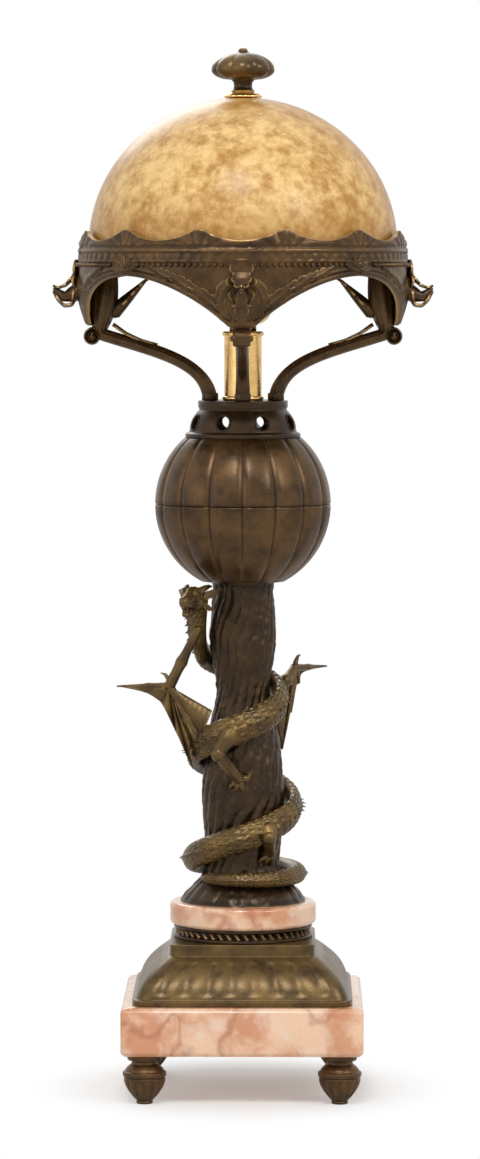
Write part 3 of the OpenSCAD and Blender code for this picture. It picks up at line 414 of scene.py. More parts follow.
def raised(outline, height):
    """An outline of radius and height points, set at a height."""
    return [(r, height + z) for r, z in outline]


# Mesh parts, each a list of points in millimetres and a list of faces

def fillet(points, radius, steps=3):
    """Rounds the corners of an outline, so that its edges catch the light."""
    made = [Vector(points[0])]
    for i in range(1, len(points) - 1):
        back = Vector(points[i - 1]) - Vector(points[i])
        on = Vector(points[i + 1]) - Vector(points[i])
        if back.length < 1e-6 or on.length < 1e-6:
            continue
        if math.pi - back.angle(on) < 0.3:
            made.append(Vector(points[i]))
            continue
        reach = min(radius, 0.45 * back.length, 0.45 * on.length)
        first = Vector(points[i]) + back.normalized() * reach
        last = Vector(points[i]) + on.normalized() * reach
        for t in fractions(steps):
            made.append(first * (1 - t) ** 2 + Vector(points[i]) * (2 * t * (1 - t)) + last * t * t)
    made.append(Vector(points[-1]))
    return made


def spaced(points, step):
    """Adds points along an outline until none is further than a step from the next."""
    made = []
    for a, b in zip(points, points[1:]):
        a, b = Vector(a), Vector(b)
        n = max(1, math.ceil((b - a).length / step))
        made.extend(a.lerp(b, k / n) for k in range(n))
    made.append(Vector(points[-1]))
    return made


def lathe(outline, segments=128, shape=None, closed=False):
    """Turns an outline of radius and height round the axis. shape(angle, r, z) may move a point."""
    verts, rows = [], []
    for r, z in outline:
        if r < 1e-4:
            rows.append([len(verts)] * segments)
            verts.append((0, 0, z))
            continue
        rows.append(list(range(len(verts), len(verts) + segments)))
        for k in range(segments):
            a = TURN * k / segments
            rr, zz = shape(a, r, z) if shape else (r, z)
            verts.append((rr * math.cos(a), rr * math.sin(a), zz))
    pairs = list(zip(rows, rows[1:]))
    if closed:
        pairs.append((rows[-1], rows[0]))
    faces = []
    for one, two in pairs:
        for k in range(segments):
            j = (k + 1) % segments
            ring = list(dict.fromkeys((one[k], one[j], two[j], two[k])))
            if len(ring) > 2:
                faces.append(tuple(ring))
    return verts, faces


def sheet(rows, cols, place):
    """A thin form as one closed skin. place(s, t) gives a point of its face and the one behind it."""
    pairs = [place(s, t) for s in fractions(rows) for t in fractions(cols)]
    verts = [face for face, _ in pairs] + [back for _, back in pairs]
    n, m = rows + 1, cols + 1
    far = n * m
    faces = []
    for i in range(n - 1):
        for j in range(m - 1):
            a = i * m + j
            faces.append((a, a + 1, a + m + 1, a + m))
            faces.append((far + a, far + a + m, far + a + m + 1, far + a + 1))
        a, b = i * m, i * m + m - 1
        faces.append((a, a + m, far + a + m, far + a))
        faces.append((b, far + b, far + b + m, b + m))
    for j in range(m - 1):
        a, b = j, (n - 1) * m + j
        faces.append((a, far + a, far + a + 1, a + 1))
        faces.append((b, b + 1, far + b + 1, far + b))
    return verts, faces


def rings(loops):
    """Skins a row of closed loops of points and closes both ends at their middles."""
    n, m = len(loops), len(loops[0])
    verts = [p for loop in loops for p in loop]
    faces = []
    for i in range(n - 1):
        for k in range(m):
            j = (k + 1) % m
            faces.append((i * m + k, i * m + j, (i + 1) * m + j, (i + 1) * m + k))
    for start, loop in ((0, loops[0]), ((n - 1) * m, loops[-1])):
        verts.append(sum((Vector(p) for p in loop), Vector()) / m)
        faces.extend((start + k, start + (k + 1) % m, len(verts) - 1) for k in range(m))
    return verts, faces


def directions(path):
    """The unit direction of a path at each of its points."""
    n = len(path)
    return [(path[min(n - 1, i + 1)] - path[max(0, i - 1)]).normalized() for i in range(n)]


def bar(path, radii, sides=10, over=None):
    """A round bar along a path with domed ends. over is a direction that the section keeps to."""
    path = [Vector(p) for p in path]
    aims = directions(path)
    side = Vector(over) if over else aims[0].orthogonal()
    turns = [TURN * k / sides for k in range(sides)]
    loops = []
    for p, aim, r in zip(path, aims, radii):
        side = (side - aim * side.dot(aim)).normalized()
        cross = aim.cross(side)
        wide, deep = r if isinstance(r, tuple) else (r, r)
        loops.append([p + side * (wide * math.cos(f)) + cross * (deep * math.sin(f)) for f in turns])
    for end, way in ((0, -1), (-1, 1)):
        middle = sum(loops[end], Vector()) / sides
        r = radii[end][1] if isinstance(radii[end], tuple) else radii[end]
        cap = [middle + (p - middle) * 0.6 + aims[end] * (way * r * 0.6) for p in loops[end]]
        loops.insert(0 if end == 0 else len(loops), cap)
    return rings(loops)


def ball(centre, radii, segments=16):
    """A rounded lump with its own radius along each axis."""
    half = segments // 2
    outline = [(math.sin(math.pi * i / half), -math.cos(math.pi * i / half)) for i in range(half + 1)]
    verts, faces = lathe(outline, segments)
    return [Vector(centre) + Vector([c * r for c, r in zip(v, radii)]) for v in verts], faces


def moved(part, matrix):
    """A mesh part turned and shifted by a matrix in millimetres."""
    return [matrix @ Vector(v) for v in part[0]], part[1]


def turned(part, angle):
    """A mesh part turned about the lamp's axis by an angle in degrees."""
    return moved(part, Matrix.Rotation(math.radians(angle), 4, "Z"))


def leaf_half(s, half, lobes, notch):
    """Half the width of an acanthus leaf at s of its length, with lobes along its edges."""
    envelope = (1 - s) ** 0.6 * (0.5 + 0.5 * min(1.0, s / 0.3))
    lobe = 1 - notch * (1 - abs(math.sin(math.pi * lobes * s)) ** 0.6)
    return max(0.25, half * envelope * lobe)


def leaf(place, half, lobes=4, rise=2.0, thick=1.0, notch=0.4, rows=44, cols=14):
    """An acanthus leaf. place(s, across, up) gives a point for s of its length, in millimetres."""
    def blade(s, q):
        t = 2 * q - 1
        width = leaf_half(s, half, lobes, notch)
        vein = math.exp(-(t / 0.13) ** 2) * (1 - s)
        ribs = 0.5 + 0.5 * math.cos(TURN * lobes * (s - 0.12 * abs(t)))
        cup = 0.35 + 0.4 * (1 - t * t) + 0.3 * vein - 0.3 * ribs * abs(t) * (1.15 - abs(t))
        up = rise * cup * (0.55 + 0.45 * (1 - s))
        return place(s, t * width, up), place(s, t * width * 0.94, -thick)

    return sheet(rows, cols, blade)


# Finished pieces

def vectors(mesh, key):
    """One of the mesh's vectors for each vertex, as an array."""
    found = np.empty(len(mesh.vertices) * 3)
    mesh.vertices.foreach_get(key, found)
    return found.reshape(-1, 3)


def mark_wear(mesh, near=2, wide=14, gain=1.7):
    """Stores how far each point stands out of the skin about it: ridges are rubbed, hollows stay dark."""
    n = len(mesh.vertices)
    spots, normals = vectors(mesh, "co"), vectors(mesh, "normal")
    ends = np.empty(len(mesh.edges) * 2, dtype=np.int64)
    mesh.edges.foreach_get("vertices", ends)
    a, b = ends[0::2], ends[1::2]
    count = np.maximum(np.bincount(a, minlength=n) + np.bincount(b, minlength=n), 1)

    def around(values):
        return (np.bincount(a, values[b], n) + np.bincount(b, values[a], n)) / count

    span = np.linalg.norm(spots[a] - spots[b], axis=1)
    reach = (np.bincount(a, span, n) + np.bincount(b, span, n)) / count
    middle = np.stack([around(spots[:, k]) for k in range(3)], axis=1)
    stand = ((spots - middle) * normals).sum(axis=1) / np.maximum(reach, 1e-9)
    for _ in range(near):
        stand = 0.5 * stand + 0.5 * around(stand)
    ground = stand
    for _ in range(wide):
        ground = 0.5 * ground + 0.5 * around(ground)
    wear = np.clip(0.5 + gain * (stand - ground), 0, 1)
    store = mesh.attributes.new("wear", "FLOAT", "POINT")
    store.data.foreach_set("value", wear)


def linked(name, data):
    """An object of some data, put into the scene."""
    obj = bpy.data.objects.new(name, data)
    bpy.context.scene.collection.objects.link(obj)
    return obj


def dress(obj, slot, body="stand", nodes=(), sharp=40):
    """Finishes an object: clean skin, smooth shading, wear, material, body and the nodes it stands for."""
    mesh = obj.data
    skin = bmesh.new()
    skin.from_mesh(mesh)
    bmesh.ops.remove_doubles(skin, verts=skin.verts, dist=2e-6)
    bmesh.ops.dissolve_degenerate(skin, edges=skin.edges, dist=1e-6)
    bmesh.ops.recalc_face_normals(skin, faces=skin.faces)
    skin.to_mesh(mesh)
    skin.free()
    mesh.polygons.foreach_set("use_smooth", [True] * len(mesh.polygons))
    mesh.set_sharp_from_angle(angle=math.radians(sharp))
    mark_wear(mesh)
    mesh.materials.clear()
    mesh.materials.append(finish(slot))
    mesh.update()
    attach(obj, body)
    if nodes:
        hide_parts(*nodes)


def raw(name, parts):
    """An object made of mesh parts that are given in millimetres."""
    verts, faces = [], []
    for part_verts, part_faces in parts:
        base = len(verts)
        verts.extend((p[0] * MM, p[1] * MM, p[2] * MM) for p in part_verts)
        faces.extend(tuple(base + i for i in f) for f in part_faces)
    mesh = bpy.data.meshes.new(name)
    mesh.from_pydata(verts, [], faces)
    return linked(name, mesh)


def piece(name, parts, slot, body="stand", nodes=(), sharp=40):
    """A finished piece of the lamp from mesh parts."""
    obj = raw(name, parts)
    dress(obj, slot, body, nodes, sharp)
    return obj


def settled(obj):
    """Turns an object's modifiers into its plain mesh."""
    bpy.context.view_layer.update()
    done = bpy.data.meshes.new_from_object(obj.evaluated_get(bpy.context.evaluated_depsgraph_get()))
    obj.modifiers.clear()
    old = obj.data
    obj.data = done
    bpy.data.meshes.remove(old)


def cut(obj, parts):
    """Cuts closed mesh parts out of an object."""
    tool = raw("cutter", parts)
    knife = obj.modifiers.new("cut", "BOOLEAN")
    knife.operation = "DIFFERENCE"
    knife.solver = "EXACT"
    knife.object = tool
    settled(obj)
    bpy.data.objects.remove(tool)


def drum(radius, bottom, top, segments=64):
    """A closed round block on the axis."""
    return lathe([(0, bottom), (radius, bottom), (radius, top), (0, top)], segments)


def smooth_copy(node, slot, body="stand", sharp=30):
    """A CAD node's own shape, merged and shaded smooth, with its finish."""
    obj = linked(node + "_skin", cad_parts[node].data.copy())
    obj.data.transform(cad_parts[node].matrix_world)
    dress(obj, slot, body, (node,), sharp)
    return obj


# Geometry Nodes: one small ornament set in a row along a path

def row_tree():
    """The node tree that sets an ornament along a path, upright on the path's own out directions."""
    tree = bpy.data.node_groups.get("ornament_row")
    if tree:
        return tree
    tree = bpy.data.node_groups.new("ornament_row", "GeometryNodeTree")
    sockets = (("Path", "NodeSocketGeometry"), ("Ornament", "NodeSocketObject"),
               ("Spacing", "NodeSocketFloat"), ("Finish", "NodeSocketMaterial"))
    for name, kind in sockets:
        tree.interface.new_socket(name, in_out="INPUT", socket_type=kind)
    tree.interface.new_socket("Row", in_out="OUTPUT", socket_type="NodeSocketGeometry")
    given = add(tree, "NodeGroupInput", {}, {})
    line = add(tree, "GeometryNodeMeshToCurve", {}, {"Mesh": given.outputs["Path"]})
    even = add(tree, "GeometryNodeResampleCurve", {"mode": "LENGTH"},
               {"Curve": line.outputs[0], "Length": given.outputs["Spacing"]})
    out = add(tree, "GeometryNodeInputNamedAttribute", {"data_type": "FLOAT_VECTOR"}, {"Name": "out"})
    size = add(tree, "GeometryNodeInputNamedAttribute", {"data_type": "FLOAT"}, {"Name": "size"})
    aim = add(tree, "GeometryNodeInputTangent", {}, {})
    upright = add(tree, "FunctionNodeAlignRotationToVector", {"axis": "Z"}, {"Vector": out.outputs[0]})
    along = add(tree, "FunctionNodeAlignRotationToVector", {"axis": "X", "pivot_axis": "Z"},
                {"Rotation": upright.outputs[0], "Vector": aim.outputs[0]})
    shape = add(tree, "GeometryNodeObjectInfo", {}, {"Object": given.outputs["Ornament"]})
    placed = add(tree, "GeometryNodeInstanceOnPoints", {},
                 {"Points": even.outputs[0], "Instance": shape.outputs["Geometry"],
                  "Rotation": along.outputs[0], "Scale": size.outputs[0]})
    real = add(tree, "GeometryNodeRealizeInstances", {}, {"Geometry": placed.outputs[0]})
    coat = add(tree, "GeometryNodeSetMaterial", {},
               {"Geometry": real.outputs[0], "Material": given.outputs["Finish"]})
    add(tree, "NodeGroupOutput", {}, {"Row": coat.outputs[0]})
    return tree


def row(name, lines, ornament, spacing, slot):
    """A finished row of ornaments. Each line is a list of (point, out direction, size), in millimetres."""
    verts, edges, outs, scale = [], [], [], []
    for line in lines:
        base = len(verts)
        verts.extend(tuple(Vector(p) * MM) for p, _, _ in line)
        outs.extend(c for _, o, _ in line for c in Vector(o).normalized())
        scale.extend(s for _, _, s in line)
        edges.extend((base + i, base + i + 1) for i in range(len(line) - 1))
    mesh = bpy.data.meshes.new(name)
    mesh.from_pydata(verts, edges, [])
    mesh.attributes.new("out", "FLOAT_VECTOR", "POINT").data.foreach_set("vector", outs)
    mesh.attributes.new("size", "FLOAT", "POINT").data.foreach_set("value", scale)
    obj = linked(name, mesh)
    pattern = raw("ornament", [ornament])
    tree = row_tree()
    maker = obj.modifiers.new("row", "NODES")
    maker.node_group = tree
    values = {"Ornament": pattern, "Spacing": spacing * MM, "Finish": finish(slot)}
    for item in tree.interface.items_tree:
        if item.item_type == "SOCKET" and item.in_out == "INPUT" and item.name in values:
            maker[item.identifier] = values[item.name]
    settled(obj)
    bpy.data.objects.remove(pattern)
    dress(obj, slot)
    return obj


# Foot, plinth, base, socle and disc

# How far the feet stand off the axis along X and Y, the plinth's half width and bevel, and the recess in it
FOOT_OFF = 64.5
PLINTH_HALF, PLINTH_BEVEL = 80, 2.2
RECESS_R, RECESS_H = 23, 16


def foot_skin():
    """One turned foot: a top shape with a lobed belly, a bead and a ring under the plinth."""
    belly = [(5.4 + 8.4 * math.sin(math.pi / 2 * i / 24) ** 0.9, 2.4 + 15.0 * i / 24) for i in range(25)]
    outline = [(0, 0), (5.0, 0), (5.8, 1.0), (5.2, 2.0)] + belly + [
        (13.2, 18.0), (14.4, 18.7), (14.5, 20.2), (14.3, 21.4), (13.0, 22.0), (12.4, 23.4), (10.4, 25.4),
        (8.7, 26.6), (8.5, 28.6), (9.2, 29.0), (11.2, 29.2), (11.5, 31.0), (11.5, 33.0), (0, 33.0)]

    def lobed(angle, r, z):
        fade = ramp(3, 7, z) * (1 - ramp(15.5, 17.6, z))
        return r - 0.9 * fade * abs(math.sin(7 * angle)) ** 2.5, z

    return lathe(spaced(fillet(outline, 0.5), 0.9), 112, lobed)


def plinth_skin(half, bottom, top, bevel):
    """A square block with rounded edges."""
    inset = half - bevel
    corners = [(inset, bottom), (half, bottom + bevel), (half, top - bevel), (inset, top)]
    outline = fillet(corners, bevel * 0.6, 4)
    loops = []
    for w, z in outline:
        loop = []
        for cx, cy, turn in ((1, 1, 0), (-1, 1, 90), (-1, -1, 180), (1, -1, 270)):
            for k in range(5):
                a = math.radians(turn + 22.5 * k)
                x, y = cx * (w - bevel) + bevel * math.cos(a), cy * (w - bevel) + bevel * math.sin(a)
                loop.append(Vector((x, y, z)))
        loops.append(loop)
    return rings(loops)


def base_skin():
    """The square bronze base: a band, lobed sloping sides and a lip under the socle."""
    count = sizes().base_lobes
    depth = sizes().base_relief / MM
    slope = [(mix(71, 50, t) + 4 * math.sin(math.pi * t), 4 + 26 * t) for t in fractions(26)]
    band, lip = [(72.6, 0), (73, 0.4), (73, 4)], [(48.5, 30), (48.5, 38), (47, 38)]
    outline = spaced(fillet(band + slope + lip, 0.7), 1.3)
    cells, squareness = 60, 14
    loops = []
    for w, h in outline:
        fade = ramp(5.5, 9, h) * (1 - ramp(25, 28.5, h))
        loop = []
        for side in range(4):
            for k in range(cells):
                u = 2 * k / cells - 1
                lobe = 1 - abs(math.sin(math.pi * count * (u + 1) / 2)) ** 0.7
                sunk = depth * fade * lobe * (1 - ramp(0.86, 0.97, abs(u)))
                x, y = w - sunk, u * (w - sunk * 0.2)
                reach = ((abs(x) / w) ** squareness + (abs(y) / w) ** squareness) ** (1 / squareness)
                x, y = x / max(1, reach), y / max(1, reach)
                loop.append(Matrix.Rotation(math.pi / 2 * side, 3, "Z") @ Vector((x, y, Z_BASE + h)))
        loops.append(loop)
    return rings(loops)


class LAMP_OT_foundation(bpy.types.Operator):
    """Build the feet, the marble plinth and disc, the bronze base and the socle ring."""

    bl_idname = "lamp.foundation"
    bl_label = "Foundation"

    def execute(self, context):
        """Makes the pieces below the column."""
        foot = foot_skin()
        for node, (x, y) in FEET.items():
            part = moved(foot, Matrix.Translation((FOOT_OFF * x, FOOT_OFF * y, 0)))
            piece(node + "_turned", [part], "bronze", nodes=(node,))
        plinth = raw("plinth_block", [plinth_skin(PLINTH_HALF, Z_PLINTH, Z_BASE, PLINTH_BEVEL)])
        cut(plinth, [drum(RECESS_R, Z_PLINTH - 1, Z_PLINTH + RECESS_H)])
        dress(plinth, "marble", nodes=("marble_plinth",))
        piece("base_casting", [base_skin()], "olive_bronze", nodes=("bronze_base",))
        side = [(46.5, 0), (46.5, 2), (44.6, 2.6), (43.9, 4.5), (44.6, 6.4), (46.5, 7), (46.5, 9)]
        ring = [(BORE_R, 0)] + side + [(BORE_R, 9)]
        socle = raised(spaced(fillet(ring, 0.6), 1.0), Z_SOCLE)

        def rope(angle, r, z):
            inside = bump(z, Z_SOCLE + 4.5, 2.2)
            return r + 1.2 * inside * math.cos(48 * angle + 0.9 * (z - Z_SOCLE)) if r > 40 else r, z

        piece("socle_rope", [lathe(socle, 288, rope, closed=True)], "dark_bronze", nodes=("socle_ring",))
        wide, tall, turn = 49, 15, 3
        quarter = [math.pi / 2 * i / 6 for i in range(7)]
        edge = [(wide - turn + turn * math.sin(a), turn - turn * math.cos(a)) for a in quarter]
        side = edge + [(r, tall - z) for r, z in reversed(edge)]
        disc = raised([(BORE_R, 0)] + side + [(BORE_R, tall)], Z_DISC)
        piece("disc_slab", [lathe(disc, 160, closed=True)], "marble", nodes=("marble_disc",))
        return {"FINISHED"}


# Column and dragon

# The column's radius, then how far each form stands out of it or cuts in, with its place and reach
SHAFT_R = 24
MOUND, MOUND_H = 18, 14
SWELL, SWELL_AT, SWELL_REACH = 4.5, 0.33, 0.18
WAIST, WAIST_AT, WAIST_REACH = 5.5, 0.66, 0.1
TAPER, TAPER_H = 3, 30

# The dragon's coil, by angles along it in degrees, and its radii, in millimetres
TAIL, NECK = -150, 885
COIL_LOW, COIL_PITCH, COIL_LAG, COIL_EASE, COIL_SINK = 17, 75, 140, 60, 7.5
TAIL_R, BODY_R, NECK_R = 1.5, 9.75, 8.25
FLAT = 0.55
HEAD_AT = Vector((-31, -28, Z_GLOBE - 10.5))
HEAD_AIM = Vector((-0.25, -0.96, -0.05)).normalized()
NAPE = HEAD_AT - 4 * HEAD_AIM


def core_r(h):
    """Radius of the column at a height above its foot: a mound, a swelling, a waist and a tapered top."""
    rise = h / COLUMN_H
    mound = MOUND * math.exp(-(h / MOUND_H) ** 2)
    swell = SWELL * math.exp(-((rise - SWELL_AT) / SWELL_REACH) ** 2)
    waist = WAIST * math.exp(-((rise - WAIST_AT) / WAIST_REACH) ** 2)
    return SHAFT_R + mound + swell - waist - TAPER * math.exp(-((COLUMN_H - h) / TAPER_H) ** 2)


def coil_h(a):
    """Height of the dragon's coil above the column's foot, for an angle along it."""
    past = a - COIL_LAG
    climb = COIL_PITCH / 360 * (past + math.hypot(past, COIL_EASE)) / 2
    return COIL_LOW + climb - COIL_SINK * ramp(700, 900, a)


def body_r(a):
    """Radius of the dragon's body for an angle along its coil."""
    grown = (BODY_R - TAIL_R) * ramp(TAIL - 20, 560, a) ** 0.3
    return TAIL_R + grown - (BODY_R - NECK_R) * ramp(600, 840, a)


def body_flat(a):
    """Depth of the dragon's body over its height: round at the tail, flat where it lies on the shaft."""
    return mix(1, FLAT, ramp(90, 330, a))


def coil_point(a):
    """Middle of the dragon's body for an angle along its coil, where its rim clears the column."""
    r = body_r(a)
    h = max(coil_h(a), r + 0.4)
    slope = core_r(h + 0.5) - core_r(h - 0.5)
    turns = np.radians(range(-75, 76, 15))
    rim = [core_r(h + r * math.sin(t)) + r * body_flat(a) * math.cos(t) for t in turns]
    return polar(max(rim) + 0.6 * math.hypot(1, slope), a, Z_COLUMN + h)


def dragon_line():
    """The middle of the dragon's body from tail to nape, as points with their radius and flatness."""
    line = []
    for a in np.arange(TAIL, NECK + 0.1, 1.5):
        point = min(1, (a - TAIL + 0.2) / 16) ** 0.6
        line.append((coil_point(a), body_r(a) * point, body_flat(a)))
    start = coil_point(NECK)
    way = (start - coil_point(NECK - 4)).normalized()
    curve = [start, start + 12 * way + Vector((-2, 0, 6)), NAPE - 12 * HEAD_AIM - Vector((3, 0, 8)), NAPE]
    for t in fractions(46)[1:]:
        line.append((bezier(curve, t), NECK_R * mix(1, 0.86, t), mix(FLAT, 1, t)))
    return line + [(HEAD_AT, 7.1, 1.0)]


def dragon_frames():
    """The dragon's line with, at each point, its radius, flatness and outward and upward directions."""
    line = dragon_line()
    frames = []
    for (p, r, flat), aim in zip(line, directions([p for p, _, _ in line])):
        out = Vector((p.x, p.y, 0))
        out = (out - aim * out.dot(aim)).normalized()
        frames.append((p, r, flat, out, aim.cross(out)))
    return frames


def scale_height(u, v):
    """Height from 0 to 1 of overlapping scales, for a place along the body and one round it."""
    line = math.floor(u)
    x = (v + 0.5 * (line % 2)) % 1 - 0.5
    y = u - line
    tip = 1 - 3 * x * x
    return 0.3 + 0.7 * y / tip if y < tip * 0.92 else 0.12


def dragon_skin():
    """The dragon's body, with scales on its back and flanks and a smooth side against the column."""
    count = sizes().scales_round
    rise = sizes().scale_relief / MM
    sides = 84
    u = 0.0
    loops = []
    last = None
    for p, r, flat, out, up in dragon_frames():
        if last is not None:
            u += (p - last).length / (0.55 * r + 0.5)
        last = p
        full = min(1, r / 7)
        loop = []
        for k in range(sides):
            f = TURN * k / sides
            clear = ramp(-0.45, 0.05, math.cos(f))
            lift = rise * full * clear * (scale_height(-u, count * f / TURN) - 0.25)
            keel = 0.9 * full * math.exp(-(math.sin(f) / 0.16) ** 2) * ramp(0.3, 0.9, math.cos(f))
            skin = out * (r * flat * math.cos(f)) + up * (r * math.sin(f))
            away = (out * math.cos(f) + up * (flat * math.sin(f))).normalized()
            loop.append(p + skin + away * (lift + keel))
        loops.append(loop)
    return rings(loops)


def spine_blade():
    """One spine of the dragon's back: a thin curved blade that leans to the tail, one unit tall."""
    rows = []
    for t in fractions(4):
        x, half, thick = -0.55 * t * t, 0.62 * (1 - t) + 0.03, 0.17 * (1 - t) + 0.02
        rows.append([Vector((x + half * c, thick * s, t - 0.15)) for c, s in
                     ((1, 0), (0.4, 0.9), (-0.4, 0.9), (-1, 0), (-0.4, -0.9), (0.4, -0.9))])
    return rings(rows)


def head_matrix():
    """The head's own frame: X along its aim, Z up."""
    side = Vector((0, 0, 1)).cross(HEAD_AIM).normalized()
    over = HEAD_AIM.cross(side)
    return Matrix.Translation(HEAD_AT) @ Matrix((HEAD_AIM, side, over)).transposed().to_4x4()


def ear(s, root, reach, half, rise, rows):
    """One of the dragon's leaf-shaped ears on the side s, from its root along its reach."""
    def place(t, across, up):
        x, y, z = (a + b * t for a, b in zip(root, reach))
        return Vector((x, s * (y + 0.6 * up), z + across))

    return leaf(place, half, 3, rise, 0.4, 0.45, rows, 10)


def head_parts():
    """The dragon's skull, snout, jaws and cheeks, to be melted into one skin, and its sharp parts."""
    soft = [
        ball((3.5, 0, 1.2), (7.6, 7.0, 7.4)), ball((11, 0, 2.6), (8.0, 6.4, 6.6)),
        bar([(10, 0, 3), (18, 0, 2.2), (25, 0, 1.4), (29.5, 0, 0.9)],
            [(5.8, 5.6), (4.9, 4.6), (4.1, 3.7), (3.6, 3.0)], 18, ACROSS),
        bar([(4, 0, -3.5), (12, 0, -5.4), (20, 0, -7.2), (27, 0, -7.4)],
            [(5.6, 4.2), (4.6, 2.8), (3.5, 2.1), (2.4, 1.7)], 18, ACROSS),
        ball((27.5, 0, 3.0), (2.6, 3.2, 1.7)),
    ]
    tongue = [(8, 0, -2.6), (18, 0, -3.9), (24, 0, -3.6), (28, 0, -4.4)]
    sharp = [bar(tongue, [(2.4, 1.0), (2.2, 0.9), (1.8, 0.8), (0.6, 0.4)], 12, ACROSS)]
    for s in (-1, 1):
        soft += [
            bar([(7, s * 4.6, 7.0), (12, s * 5.3, 7.4), (17.5, s * 4.2, 5.9)], [1.6, 1.9, 1.0], 12),
            ball((8, s * 5.4, -1.5), (4.2, 2.6, 3.6)), ball((29, s * 2.1, 3.3), (1.7, 1.3, 1.2)),
            bar([(19, s * 3.6, -0.6), (25, s * 3.2, -1.2), (29.5, s * 2.0, -1.2)], [1.0, 1.0, 0.8], 10),
        ]
        sharp += [
            ball((14.4, s * 5.1, 4.6), (1.9, 1.3, 1.7)),
            bar([(6, s * 4.6, 6.4), (0, s * 6.2, 7.6), (-6, s * 7.4, 8.1), (-11, s * 8, 7.6)],
                [2.5, 2.0, 1.3, 0.4], 12),
            ear(s, (5, 7.2, 2.6), (-13, 6.8, 2.4), 4.4, 0.9, 26),
            ear(s, (4, 6.6, -4), (-10, 4.2, -3.6), 3.2, 0.8, 22),
        ]
        # Upper teeth, then lower ones, each by its place along the jaw and its length
        for x, tall in ((28.0, 3.0), (24.8, 1.9), (22.2, 1.6), (19.6, 1.3)):
            y = s * (1.7 if x > 27 else 2.9)
            fang = [(x, y, -1.0), (x - 0.3, y, -1.6 - tall * 0.5), (x - 0.7, y, -1.2 - tall)]
            sharp.append(bar(fang, [0.8, 0.55, 0.12], 8))
        for x, tall in ((26.0, 2.6), (22.8, 1.6), (20.0, 1.4)):
            y = s * (1.4 if x > 25 else 2.5)
            fang = [(x, y, -6.4), (x - 0.2, y, -5.8 + tall * 0.5), (x - 0.5, y, -5.6 + tall)]
            sharp.append(bar(fang, [0.75, 0.5, 0.12], 8))
    return soft, sharp


def head_piece():
    """The dragon's head: soft parts melted together, then horns, ears, eyes, tongue and teeth."""
    place = head_matrix()
    soft, sharp = head_parts()
    melted = raw("head_melt", [moved(p, place) for p in soft])
    melt = melted.modifiers.new("melt", "REMESH")
    melt.mode = "VOXEL"
    melt.voxel_size = 0.55 * MM
    ease = melted.modifiers.new("ease", "SMOOTH")
    ease.factor = 0.6
    ease.iterations = 5
    settled(melted)
    skull = ([v.co / MM for v in melted.data.vertices], [tuple(f.vertices) for f in melted.data.polygons])
    bpy.data.objects.remove(melted)
    inverse = place.inverted()
    carved = []
    for v in skull[0]:
        local = inverse @ v
        sunk = 0.35 * rough(local, 2.2, 2)
        ridge = 0.5 * bump(local.y, 0, 1.6) * ramp(4, 8, local.z) * (1 - ramp(24, 28, local.x))
        out = Vector((0, local.y, local.z - 0.5)).normalized()
        carved.append(place @ (local + out * (sunk + ridge)))
    parts = [(carved, skull[1])] + [moved(p, place) for p in sharp]
    return piece("dragon_head_cast", parts, "olive_bronze", nodes=("dragon_head",), sharp=50)


# Each wing's angle along the coil, its root's height in its own plane, its heading and its shoulder
WINGS = {"left_wing": (572, -24, 166, 8), "right_wing": (740, 1, 58, 0)}
WING_SPAN, WING_DROP = 60, 40


